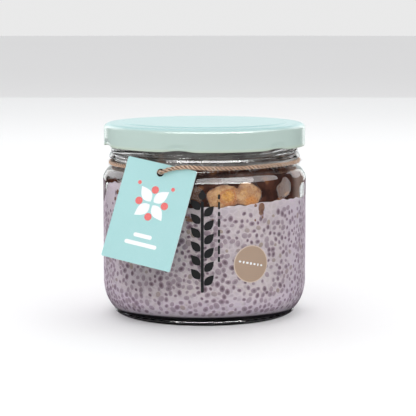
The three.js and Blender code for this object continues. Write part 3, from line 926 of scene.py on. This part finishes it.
def sauce():
    low, wall = PUDDING_TOP + 0.1, INSIDE_RADIUS + INTO_WALL
    bottom = [(radius, low) for radius in (0, 9, 18, 26, 33, 36, 37.8, 39.0, 40.0, wall)]
    side = line(16, (wall, low), (wall, SHOULDER_START - 1.2))
    mouth = MOUTH_RADIUS - HEADSPACE_GAP
    neck = [*inner_shoulder(-INTO_WALL), *line(12, (mouth, NECK_START + 1.5), (mouth, TOPPING_TOP - 0.5))]
    top = [(radius, TOPPING_TOP - 0.5) for radius in (34, 30, 20, 0)]
    windows = list(apple_windows())
    wash_values = []

    def shape(radius, height, azimuth):
        angle = np.radians(azimuth)
        brim = pudding_height(radius, azimuth) + 0.05
        lumps = np.sin(11 * angle + height / 1.9) * np.sin(height / 2.3 + 4 * np.sin(3 * angle))
        lumps = 0.5 * lumps + 0.5 * np.sin(29 * angle - height / 1.3)
        hollow = 0.5 * smooth(lumps, 0.35, 0.9) * smooth(height, 57, 60)
        out = radius - np.maximum(hollow, recess(azimuth, height, windows)) * smooth(radius, 30, 36)
        raised = np.maximum(height, brim + 0.15 * np.maximum(height - low, 0))
        wash_values.append(grey_washes(*np.broadcast_arrays(azimuth, height)))
        return out, np.where(height <= low + 1e-6, brim, raised)

    mesh = turned("apple_sauce", [*bottom, *side, *neck, *top], 400, shape)
    for name, values in zip(("veil", "pale"), wash_values[0]):
        set_attribute(mesh, name, with_poles(values))
    dressed(mesh, brown_sauce())


def grey_washes(azimuth, height):
    """Where the sauce is washed a paler grey-brown at the right, and where it is washed grey at the left
    shoulder and over the neck. The grey over the neck is painted reflection.
    """
    veil = bump(turn_from(azimuth, VEIL_AZIMUTH), VEIL_HALF)
    pale = bump(turn_from(azimuth, PALE_AZIMUTH), PALE_HALF) * smooth(height, 56.5, 58)
    return veil, np.maximum(pale, 0.75 * smooth(height, 64.5, 67))


def brown_sauce():
    finish = Finish("brown_sauce", roughness=0.35, ior=1.42, specular_ior_level=0.15)
    pulp = finish.noise(5.5, 4.0)
    glow = finish.noise(9.0, 2.0, (1, 1, 1.4), 0.02)
    fine = finish.noise(1.1, 3.0)
    brown = finish.mix(pulp.step(0.38, 0.66), paint(48, 22, 16), paint(82, 44, 30))
    amber = finish.mix(glow.step(0.56, 0.7) * 0.75, brown, paint(148, 92, 54))
    speckled = finish.mix(fine.step(0.62, 0.8) * 0.5, amber, paint(44, 22, 16))
    # Grey-brown wash at the right, grey wash at the left shoulder, and over the neck a grey that is painted
    # reflection
    veiled = finish.mix(finish.attribute("veil").step(0.1, 0.9) * 0.85, speckled, paint(164, 140, 130))
    pale = (finish.attribute("pale") + (pulp - 0.5) * 0.9).step(0.25, 0.9)
    colour = finish.mix(pale * 0.8, veiled, paint(138, 134, 132))
    return finish.painted(colour, pulp + fine * 0.4, 0.35)


class Draws:
    """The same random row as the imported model's cubes."""

    def __init__(self, seed):
        self.state = seed

    def next(self):
        self.state = (self.state * 1664525 + 1013904223) % 4294967296
        return self.state / 4294967296

    def near(self, spread):
        return 1 + spread * (2 * self.next() - 1)


def flat_cube(cuts):
    """Points of a cube's sides, its faces, and how near each point is to an edge."""
    bm = bmesh.new()
    bmesh.ops.create_cube(bm, size=2.0)
    bmesh.ops.subdivide_edges(bm, edges=bm.edges[:], cuts=cuts, use_grid_fill=True)
    bm.verts.index_update()
    points = np.array([vertex.co[:] for vertex in bm.verts])
    faces = [[vertex.index for vertex in face.verts] for face in bm.faces]
    bm.free()
    parts = np.sort(np.abs(points), 1)
    return points, faces, smooth(parts[:, 1], 0.62, 1.0)


def rounded(points, power):
    """Draws a cube's points in to a softer cube. A power of 2 gives a ball."""
    return points / ((np.abs(points) ** power).sum(1) ** (1 / power))[:, None]


def cube_places():
    """Size, corner shape, turn and place of each apple cube."""
    draws = Draws(CUBE_SEED)
    for ring, (count, first, radius, level, wander) in enumerate(CUBE_RINGS):
        for i in range(count):
            sides = [CUBE_SIZE * draws.near(CUBE_SPREAD) for _ in range(3)]
            corners = {signs: [draws.near(CUBE_SKEW) for _ in range(3)] for signs in CORNER_ORDER}
            turns = [3 * draws.next() for _ in range(3)]
            jitter = 0 if i < 2 else 5 * (draws.next() - 0.5)
            height = level + wander * (2 * draws.next() - 1)
            yield ring, i, sides, corners, turns, on_round(first + 360 * i / count + jitter, radius, height)


def skewed(base, corners):
    """Moves a cube's points by its corners' own factors."""
    factor = np.zeros_like(base)
    for signs, values in corners.items():
        weight = np.prod((1 + base * signs) / 2, 1)
        factor += weight[:, None] * values
    return base * factor


def facing_out(points, azimuth, radius, height, roll):
    """Puts a piece at the glass, with its own Y outwards and its own Z up."""
    turn = Matrix.Rotation(math.radians(azimuth + 180), 3, "Z") @ Matrix.Rotation(math.radians(roll), 3, "Y")
    return points @ np.array(turn).T + np.array(on_round(azimuth, radius, height))


def apples():
    flat, faces, edge = flat_cube(CUBE_CUTS)
    blocky, round_piece = rounded(flat, 4.5), rounded(flat, 3.8)
    cube_x, cube_z = round_piece[:, 0], round_piece[:, 2]
    chances = np.random.default_rng(12)
    points, all_faces, edges, soaks, tints = [], [], [], [], []
    for ring, i, sides, corners, turns, place in cube_places():
        pits = lumpy(flat, chances.uniform(0, 9, 3))[:, None]
        soak = chances.uniform(0.35, 1.0)
        front = ring == 0 and i in FRONT_APPLES
        if front:
            azimuth, height, width, tall, roll, soak = FRONT_APPLES[i]
            halves = (width * FRONT_SPREAD, FRONT_HALF_DEPTH, tall * FRONT_SPREAD)
            cube = skewed(round_piece, corners) * halves * (1 + 0.04 * pits)
            cube = facing_out(cube, azimuth, INSIDE_RADIUS - FRONT_IN, height, roll)
        else:
            cube = skewed(blocky, corners) * np.array(sides) / 2 * (1 + 0.05 * pits)
            turn = Matrix.Identity(3)
            for angles in ((0, 0, turns[0]), (turns[1], 0, 0), (0, turns[2], 0)):
                turn = Euler(angles).to_matrix() @ turn
            cube = cube @ np.array(turn).T + np.array(place)
        points.append(held_in(cube))
        all_faces += [[vertex + len(flat) * (len(points) - 1) for vertex in face] for face in faces]
        edges.append(smooth(np.hypot(cube_x, cube_z), 0.45, 1.0) if front else edge)
        soaks.append(np.full(len(flat), soak))
        tints.append(np.full(len(flat), chances.uniform(0, 1)))
    mesh = mesh_of("apple_cubes", np.concatenate(points), all_faces)
    for name, values in {"edge": edges, "soak": soaks, "tint": tints}.items():
        set_attribute(mesh, name, np.concatenate(values))
    dressed(mesh, apple_flesh(), "apple_topping")


def lumpy(points, shift):
    """Slow lumps and small pits over a cube's own space."""
    x, y, z = (points + shift).T * 2.1
    slow = np.sin(x + 2 * np.sin(y)) + np.sin(1.7 * y + 2 * np.sin(z)) + np.sin(1.3 * z + 2 * np.sin(x))
    quick = np.sin(5 * x + y) * np.sin(4.3 * y + z) * np.sin(4.7 * z + x)
    return 0.33 * slow + 0.5 * quick


def held_in(cube):
    """Presses a cube flat where it meets the glass, and keeps it above the pudding and under the lid."""
    azimuth = np.degrees(np.arctan2(cube[:, 0], -cube[:, 1]))
    radius = np.hypot(cube[:, 0], cube[:, 1])
    height = np.clip(cube[:, 2], pudding_height(np.minimum(radius, 38), azimuth) + 0.1, TOPPING_TOP)
    limit = glass_reach(height) - 3 * smooth(height, 61, 65) * HEADSPACE_GAP
    over = np.maximum(radius - (limit - CUBE_PRESS), 0)
    pressed = limit - CUBE_PRESS + CUBE_PRESS * (1 - np.exp(-over / CUBE_PRESS))
    kept = np.where(over > 0, pressed, radius)
    scale = kept / np.maximum(radius, 1e-6)
    return np.stack([cube[:, 0] * scale, cube[:, 1] * scale, height], 1)


def from_spot(finish, azimuth, height, radius=INSIDE_RADIUS):
    """Distance in millimetres from a spot, which is on the inner face of the glass if no radius is given."""
    spot = on_round(azimuth, radius, height) * 0.001
    return finish.vector("DISTANCE", finish.place, spot, out="Value") * 1000


def apple_flesh():
    finish = Finish("apple_flesh", roughness=0.35, ior=1.4, specular_ior_level=0.25)
    edge = finish.attribute("edge")
    soak = finish.attribute("soak")
    blots = finish.noise(4.0, 3.0)
    fine = finish.noise(0.9, 3.0)
    flesh = finish.mix(finish.attribute("tint"), paint(182, 132, 86), paint(164, 116, 80))
    warm = finish.mix(blots.step(0.5, 0.66) * 0.5, flesh, paint(196, 136, 66))
    # Darker towards each piece's edges: partly sauce-browned flesh, partly painted shade for the rounded
    # sides that are pressed flat on the glass
    browned_and_shaded = finish.mix((edge * 0.7 + (blots - 0.5) * 1.8).step(0.1, 0.9) * 0.8, warm, paint(122, 68, 42))
    # Painted highlights: pale flecks over the flesh
    pale = finish.mix(finish.noise(3.4, 2.0).step(0.46, 0.62) * 0.5, browned_and_shaded, paint(214, 170, 122))
    core = from_spot(finish, CORE_AZIMUTH, CORE_HEIGHT) + (blots - 0.5) * 3.0
    ring = core.step(CORE_RADIUS - 0.6, CORE_RADIUS) * core.step(CORE_RADIUS + 1.0, CORE_RADIUS + 0.3)
    ringed = finish.mix(ring * 0.7, pale, paint(176, 100, 46))
    golden = finish.mix(finish.noise(2.2, 3.0).step(0.4, 0.62), paint(208, 148, 66), paint(180, 116, 50))
    hearted = finish.mix(core.step(CORE_RADIUS + 0.1, CORE_RADIUS - 1.0) * 0.9, ringed, golden)
    bright = from_spot(finish, BRIGHT_AZIMUTH, BRIGHT_HEIGHT) + (blots - 0.5) * 3.0
    footed = finish.mix(bright.step(BRIGHT_RADIUS, BRIGHT_RADIUS - 1.8) * 0.8, hearted, paint(190, 116, 44))
    spotted = finish.mix(finish.noise(1.9, 3.0).step(0.6, 0.7) * 0.6, footed, paint(126, 66, 38))
    wet = finish.mix((soak + (blots - 0.5) * 0.8).step(0.1, 0.9) * 0.94, spotted, paint(70, 34, 22))
    colour = finish.mix(fine.step(0.55, 0.68) * 0.5, wet, paint(104, 54, 30))
    return finish.painted(colour, blots + fine * 0.5, 0.7)


def drips():
    flat, faces, _ = flat_cube(DRIP_CUTS)
    ball = rounded(flat, 2)
    chances = np.random.default_rng(4)
    points, all_faces = [], []
    for azimuth, height, half_width, half_height in DRIPS:
        wobble = 1 + 0.12 * lumpy(ball, chances.uniform(0, 9, 3))
        around = azimuth + np.degrees(ball[:, 0] * wobble * half_width / INSIDE_RADIUS)
        depth = np.maximum(ball[:, 1] * DRIP_THICK, -DRIP_THICK)
        out = INSIDE_RADIUS + INTO_WALL + np.minimum(depth, DRIP_PROUD)
        points.append(round_points(around, out, height + ball[:, 2] * wobble * half_height))
        # The blob's own Y points outwards after the bend, which turns its faces round
        start = len(ball) * (len(points) - 1)
        all_faces += [[vertex + start for vertex in reversed(face)] for face in faces]
    mesh = mesh_of("sauce_drips", np.concatenate(points), all_faces)
    dressed(mesh, drip_brown())


def drip_brown():
    finish = Finish("drip_brown", roughness=0.45, ior=1.4, specular_ior_level=0.2)
    blots = finish.noise(1.6, 3.0)
    foot = from_spot(finish, 34.0, 47.0).step(1.6, 0.8)
    brown = finish.mix(blots.step(0.35, 0.7), paint(136, 98, 82), paint(156, 120, 104))
    colour = finish.mix(foot * 0.6, brown, paint(96, 62, 54))
    return finish.painted(colour, blots, 0.1)


# Jute twine


def route_curve(name, routes):
    """Open runs of points in millimetres as one curve."""
    data = bpy.data.curves.new(name, "CURVE")
    data.dimensions = "3D"
    data.twist_mode = "MINIMUM"
    for route in routes:
        spline = data.splines.new("POLY")
        spline.points.add(len(route) - 1)
        for point, place in zip(spline.points, route):
            point.co = (*metres(*place), 1.0)
    return data


def knot_route():
    """A small overhand knot at the back, in a plane that faces out."""
    middle = on_round(KNOT_AZIMUTH, KNOT_OUT, KNOT_HEIGHT)
    across = on_round(KNOT_AZIMUTH + 90, 1, 0)
    outward = on_round(KNOT_AZIMUTH, 1, 0)
    route = []
    for i in range(49):
        t = 2 * math.pi * i / 48
        side = KNOT_SIZE * (math.sin(t) + 2 * math.sin(2 * t))
        rise = KNOT_SIZE * (math.cos(t) - 2 * math.cos(2 * t))
        depth = -KNOT_DEPTH * math.sin(3 * t)
        route.append(middle + across * side + outward * depth + Vector((0, 0, rise)))
    return route


def twine_routes():
    runs = [TWINE_ROUTE, *TWINE_ENDS]
    return [through([on_round(*place) for place in run], 0.5) for run in runs] + [knot_route()]


def strand(growth, middle, turn):
    """A lumpy strand that winds round the twine's middle line, and stands off it at a frayed end."""
    given = growth.given
    along = growth.add("GeometryNodeSplineParameter", out="Length")
    normal = growth.add("GeometryNodeInputNormal")
    sideways = growth.vector("CROSS_PRODUCT", growth.add("GeometryNodeInputTangent"), normal)
    angle = along / given.other("Pitch") * math.tau + turn
    out = given.other("Helix radius") * (along.other("Factor").step(0.93, 1.0) * 0.9 + 1)
    across = growth.scaled(normal, angle.cosine() * out)
    offset = growth.vector("ADD", across, growth.scaled(sideways, angle.sine() * out))
    ply = growth.add("GeometryNodeSetPosition", None, {0: middle, "Offset": offset})
    ply = growth.store(ply, "along", along)
    ring = growth.add("GeometryNodeCurvePrimitiveCircle", None, {"Resolution": 9, "Radius": 1.0})
    ring = growth.store(ring, "round", growth.add("GeometryNodeSplineParameter"))
    lumps = growth.add("ShaderNodeTexNoise", {"noise_dimensions": "1D"}, {"W": along * 700, "Detail": 1.0})
    scale = given.other("Strand radius") * (lumps * 0.3 + 0.85)
    return growth.add("GeometryNodeCurveToMesh", None, {0: ply, 1: ring, "Scale": scale, "Fill Caps": True})


def twine():
    growth = Growth("ply_twine", {
        "Strand radius": STRAND_RADIUS * 0.001,
        "Helix radius": HELIX_RADIUS * 0.001,
        "Pitch": TWINE_PITCH * 0.001,
        "Step": TWINE_STEP * 0.001,
    })
    sockets = {0: growth.given, "Length": growth.given.other("Step")}
    middle = growth.add("GeometryNodeResampleCurve", {"mode": "LENGTH"}, sockets)
    place = growth.add("GeometryNodeInputPosition")
    middle = growth.store(middle, "axis", place, "FLOAT_VECTOR")
    strands = [strand(growth, middle, math.tau * i / 3) for i in range(3)]
    joined = growth.add("GeometryNodeJoinGeometry", None, {0: strands})
    axis = growth.add("GeometryNodeInputNamedAttribute", {"data_type": "FLOAT_VECTOR"}, {0: "axis"})
    away = growth.vector("DISTANCE", place, axis, out="Value")
    joined = growth.store(joined, "proud", away / (growth.given.other("Strand radius") * 2.1))
    mesh = growth.grow(route_curve("twine_routes", twine_routes()), joined, jute(), "jute_twine")
    return dressed(mesh, None, "twine")


def jute():
    """Tan strands with fine lines along them and brown shade in the grooves between them."""
    finish = Finish("jute", roughness=0.85, ior=1.45, sheen_weight=0.2)
    along = finish.attribute("along") * 1000
    strands = finish.noise(0.35, 2.0)
    slow = finish.noise(6.0, 2.0)
    lines = (along * 9 + finish.attribute("round") * 38 + strands * 6).sine() * 0.5 + 0.5
    tan = finish.mix(slow.step(0.35, 0.65), paint(222, 184, 154), paint(238, 206, 178))
    lined = finish.mix(lines * 0.25 + strands * 0.25, tan, paint(156, 112, 82))
    groove = finish.attribute("proud").step(0.97, 0.72)
    colour = finish.mix(groove * 0.95, lined, paint(96, 58, 38))
    return finish.painted(colour, lines + strands, 0.06)


def fibres(strands):
    """Short loose hairs that stand out of the twine."""
    growth = Growth("loose_hairs", {"Density": HAIR_DENSITY * 1e6, "Seed": 3})
    given = growth.given
    sockets = {0: given, "Density": given.other("Density"), "Seed": given.other("Seed")}
    points = growth.add("GeometryNodeDistributePointsOnFaces", {"distribute_method": "RANDOM"}, sockets)
    bends = {"Start": (0, 0, 0), "Middle": metres(*HAIR_MIDDLE), "End": metres(*HAIR_END)}
    hair = growth.add("GeometryNodeCurveQuadraticBezier", None, {"Resolution": 4, **bends})
    sockets = {"Resolution": 3, "Radius": HAIR_RADIUS * 0.001}
    ring = growth.add("GeometryNodeCurvePrimitiveCircle", None, sockets)
    hair = growth.add("GeometryNodeCurveToMesh", None, {0: hair, 1: ring, "Fill Caps": True})
    placed = growth.planted(points, hair, growth.chance(0.0, math.tau, 7), growth.chance(0.4, 1.2, 8))
    mesh = growth.grow(strands.data.copy(), placed, strands.data.materials[0], "jute_fibres")
    dressed(mesh)


# Flat shapes: card, paper and print


def arc(x, y, radius, start, end, steps):
    angles = np.radians(np.linspace(start, end, steps + 1))
    return [(x + radius * math.cos(a), y + radius * math.sin(a)) for a in angles]


def disc(x, y, radius, steps=32):
    return arc(x, y, radius, 0, 360, steps)[:-1]


def rounded_box(x, y, width, height, corner, tilt=0.0):
    half_x, half_y = width / 2 - corner, height / 2 - corner
    loop = []
    for side, (sx, sy) in enumerate([(1, 1), (-1, 1), (-1, -1), (1, -1)]):
        loop += arc(sx * half_x, sy * half_y, corner, 90 * side, 90 * side + 90, 6)
    return tilted(loop, x, y, tilt)


def tilted(loop, x, y, degrees):
    cosine, sine = math.cos(math.radians(degrees)), math.sin(math.radians(degrees))
    return [(x + u * cosine - v * sine, y + u * sine + v * cosine) for u, v in loop]


def leaf(x, y, length, width, tilt):
    """A pointed leaf that grows from (x, y) along its tilt."""
    loop = []
    for i in range(13):
        share = i / 12
        loop.append((length * share, width / 2 * math.sin(math.pi * share**0.8)))
    back = [(u, -v) for u, v in reversed(loop[1:-1])]
    return tilted(loop + back, x, y, tilt)


def sheet(name, loops, low, high, place, slices=None):
    """Fills flat loops between two heights, cuts them every slices millimetres, and puts them in place."""
    curve = bpy.data.curves.new(name, "CURVE")
    curve.dimensions = "2D"
    curve.fill_mode = "BOTH"
    curve.extrude = (high - low) / 2
    for loop in loops:
        spline = curve.splines.new("POLY")
        spline.points.add(len(loop) - 1)
        spline.use_cyclic_u = True
        for point, (x, y) in zip(spline.points, loop):
            point.co = (x, y, 0, 1)
    mesh = plain_mesh(in_scene(name, curve), name)
    bm = bmesh.new()
    bm.from_mesh(mesh)
    bmesh.ops.remove_doubles(bm, verts=bm.verts[:], dist=1e-5)
    if slices:
        cut_across(bm, slices)
    for vertex in bm.verts:
        x, y, z = vertex.co
        vertex.co = Vector(metres(*place(x, y, z + (low + high) / 2)))
    bmesh.ops.recalc_face_normals(bm, faces=bm.faces[:])
    bm.to_mesh(mesh)
    bm.free()
    mesh.shade_smooth()
    mesh.set_sharp_from_angle(angle=math.radians(40))
    return mesh


def cut_across(bm, spacing):
    """Cuts a flat shape into upright strips, so that it can bend."""
    low = min(vertex.co.x for vertex in bm.verts)
    high = max(vertex.co.x for vertex in bm.verts)
    for i in range(math.floor(low / spacing), math.ceil(high / spacing) + 1):
        geometry = bm.verts[:] + bm.edges[:] + bm.faces[:]
        bmesh.ops.bisect_plane(bm, geom=geometry, plane_co=(i * spacing, 0, 0), plane_no=(1, 0, 0))


# Card tag


def tag_place():
    turn = (
        Matrix.Rotation(-math.radians(TAG_YAW), 3, "Z")
        @ Matrix.Rotation(math.radians(90 - TAG_LEAN), 3, "X")
        @ Matrix.Rotation(-math.radians(TAG_TURN), 3, "Z")
    )
    return lambda x, y, z: Vector(TAG_CENTRE) + turn @ Vector((x, y, z))


def tag():
    place = tag_place()
    half = TAG_THICK / 2
    card = rounded_box(0, 0, TAG_WIDTH, TAG_HEIGHT, TAG_CORNER)
    hole = disc(TAG_HOLE_X, TAG_HOLE_Y, TAG_HOLE_RADIUS, 40)
    mesh = sheet("aqua_tag", [card, hole], -half, half, place)
    dressed(mesh, aqua_card(), "tag")
    mesh.materials.append(grained("card_edge", 0.85, (0.3, 2.0), 0.04, (226, 234, 234), (204, 224, 224)))
    front = place(0, 0, 1) - place(0, 0, 0)
    for face in mesh.polygons:
        if abs(face.normal.dot(front)) < 0.5:
            face.material_index = 1
    dressed(sheet("tag_print_white", white_shapes(), half, half + INK, place), white_ink())
    dressed(sheet("tag_print_coral", coral_shapes(), half, half + INK, place), coral_ink())


def white_shapes():
    """Four petals and two bars."""
    petals = []
    for angle in (45, 135, 225, 315):
        start = arc(0, ROSETTE_Y, 0.9, angle, angle, 1)[0]
        petals.append(leaf(*start, PETAL_LENGTH, PETAL_WIDTH, angle))
    return petals + [rounded_box(0, y, width, BAR_HEIGHT, 0.8) for y, width in BARS]


def coral_shapes():
    """A disc between each two petals, and a small one beside each upper petal."""
    around = (arc(0, ROSETTE_Y, DISC_OUT, angle, angle, 1)[0] for angle in (0, 90, 180, 270))
    discs = [disc(*middle, DISC_RADIUS) for middle in around]
    return discs + [disc(x, ROSETTE_Y + 7.3, SMALL_DISC) for x in (-7.3, 7.3)]


def aqua_card():
    finish = Finish("aqua_card", roughness=0.72, ior=1.45)
    fibre = finish.noise(0.45, 3.0)
    cloud = finish.noise(12.0, 2.0)
    aqua = finish.mix(cloud, paint(163, 212, 212), paint(171, 216, 217))
    colour = finish.mix(fibre.step(0.5, 0.75) * 0.35, aqua, paint(186, 221, 222))
    return finish.painted(colour, fibre, 0.03)


def grained(name, roughness, grain, depth, first, second):
    """A material between two colours, by a fine noise that is its relief too."""
    finish = Finish(name, roughness=roughness, ior=1.45)
    fibre = finish.noise(*grain)
    colour = finish.mix(fibre, paint(*first), paint(*second))
    return finish.painted(colour, fibre, depth)


def white_ink():
    return grained("white_ink", 0.6, (0.45, 3.0), 0.02, (240, 244, 246), (250, 250, 251))


def coral_ink():
    finish = Finish("coral_ink", roughness=0.6, ior=1.45)
    fibre = finish.noise(0.45, 3.0)
    colour = finish.mix(fibre.step(0.3, 0.7), paint(226, 92, 92), paint(238, 112, 108))
    return finish.painted(colour, fibre, 0.02)


# Sticker and black print on the glass


def on_jar(azimuth, height, radius):
    """Bends flat shapes round the jar, with their middle at an azimuth and a height."""

    def place(x, y, z):
        return on_round(azimuth + math.degrees(x / BODY_RADIUS), radius + z, height + y)

    return place


def sticker():
    place = on_jar(STICKER_AZIMUTH, STICKER_HEIGHT, BODY_RADIUS)
    top = STICKER_THICK
    mesh = sheet("round_sticker", [disc(0, 0, STICKER_RADIUS, 72)], INK, top, place, STICKER_STRIP)
    dressed(mesh, beige_paper(), "sticker").visible_shadow = False
    dots = []
    for i, width in enumerate(DOT_WIDTHS):
        dots.append(rounded_box(-5.0 + 1.6 * i, 1.3 - 0.36 * i, width, 0.8 + 0.3 * (i % 2), 0.34, -13))
    dressed(sheet("sticker_print", dots, top, top + INK, place, STICKER_STRIP), white_ink())


def beige_paper():
    finish = Finish("beige_paper", roughness=0.62, ior=1.45)
    away = from_spot(finish, STICKER_AZIMUTH, STICKER_HEIGHT, BODY_RADIUS)
    rim = away.step(STICKER_RADIUS - 0.55, STICKER_RADIUS - 0.1)
    lines = (finish.height() * 8.2).sine() * 0.5 + 0.5
    fibre = finish.noise(0.5, 3.0)
    beige = finish.mix(lines * 0.5 + fibre * 0.4, paint(178, 148, 127), paint(168, 148, 127))
    colour = finish.mix(rim, beige, paint(218, 200, 184))
    return finish.painted(colour, lines * 0.5 + fibre, 0.02)


def print_on_glass():
    """A leafy sprig up the front of the glass, with a column of short dashes beside it."""
    shapes = [rounded_box(STEM_X, 33.5, 2 * STEM_HALF, 37.0, 0.55)]
    for i in range(6):
        low = 18.0 + LEAF_LENGTH * i
        shapes.append(leaf(STEM_X + STEM_HALF + 0.3, low, LEAF_LENGTH, LEAF_WIDTH, 48))
        shapes.append(leaf(STEM_X - STEM_HALF - 0.3, low + 2.6, LEAF_LENGTH, LEAF_WIDTH, 132))
    shapes.append(leaf(STEM_X, 52.4, 4.4, 2.8, 90))
    low = DASH_LOW
    for length in DASH_LENGTHS:
        shapes.append(rounded_box(DASH_X, low + length / 2, 0.9, length, 0.4))
        low += length + 1.0
    mesh = sheet("glass_print", shapes, INK, 2 * INK, on_jar(0.0, 0.0, BODY_RADIUS), PRINT_STRIP)
    ink = grained("black_ink", 0.5, (0.5, 3.0), 0.01, (12, 12, 16), (24, 24, 30))
    dressed(mesh, ink).visible_shadow = False


# Stage, light and camera


def stage():
    bm = bmesh.new()
    bmesh.ops.create_circle(bm, cap_ends=True, segments=96, radius=6.0)
    mesh = bpy.data.meshes.new("studio_floor")
    bm.to_mesh(mesh)
    bm.free()
    floor = in_scene("studio_floor", mesh)
    mesh.materials.append(floor_white())
    floor.location = metres(0, 0, -FLOOR_DROP)
    floor.visible_glossy = False
    floor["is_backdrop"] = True


def floor_white():
    """A pale floor that is dark under the jar, where hardly any light gets in."""
    finish = Finish("floor_white", roughness=0.9)
    away = finish.vector("LENGTH", finish.vector("MULTIPLY", finish.place, (1, 1, 0)), out="Value") * 1000
    lit = away.step(FOOT_OUTER, FOOT_OUTER + 3)
    finish.feed("Base Color", finish.mix(lit, paint(14, 13, 15), paint(248, 248, 249)))
    return finish.material


def soft_light(name, azimuth, elevation, distance, width, height, glow, colour):
    """A softbox that faces the jar's middle, with sizes in metres."""
    data = bpy.data.lights.new(name, "AREA")
    data.shape = "RECTANGLE"
    data.size, data.size_y = width, height
    data.energy = math.pi * width * height * glow
    data.color = colour
    light = in_scene(name, data)
    out, up = math.cos(math.radians(elevation)), math.sin(math.radians(elevation))
    target = Vector(metres(*LIGHT_TARGET))
    light.location = on_round(azimuth, distance * out, distance * up) + target
    light.rotation_euler = (target - light.location).to_track_quat("-Z", "Y").to_euler()
    light.visible_camera = False
    return light


def lights():
    """A soft room that the gloss doesn't see, softboxes for the light and softboxes for the gloss."""
    scene = bpy.context.scene
    scene.world = bpy.data.worlds.new("soft_room")
    scene.world.use_nodes = True
    room = scene.world.node_tree.nodes["Background"]
    room.inputs["Color"].default_value = (1.0, 1.0, 1.0, 1)
    room.inputs["Strength"].default_value = ROOM_GLOW
    scene.world.cycles_visibility.glossy = False
    scene.view_settings.view_transform = "Standard"
    scene.cycles.caustics_reflective = False
    for name, values in FILLS.items():
        soft_light(name, *values).visible_glossy = False
    for name, values in {**FRONT_GLOSS, **BACK_GLOSS}.items():
        light = soft_light(name, *values)
        light.visible_diffuse = False
        light.visible_transmission = name in BACK_GLOSS


def camera():
    data = bpy.data.cameras.new("photo_camera")
    data.lens = CAMERA_LENS
    data.sensor_width = 36.0
    data.clip_start, data.clip_end = 0.01, 50.0
    holder = in_scene("photo_camera", data)
    holder.location = CAMERA_PLACE
    holder.rotation_euler = (math.pi / 2 - CAMERA_PITCH, 0, CAMERA_YAW)
    bpy.context.scene.camera = holder


camera()
fibres(twine())
tag()
jar()
lid()
pudding()
seeds()
sauce()
apples()
drips()
sticker()
print_on_glass()
stage()
lights()

boxes = {"cad": cad_box, "visual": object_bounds()}
{key: [list(corner) for corner in box] for key, box in boxes.items()}
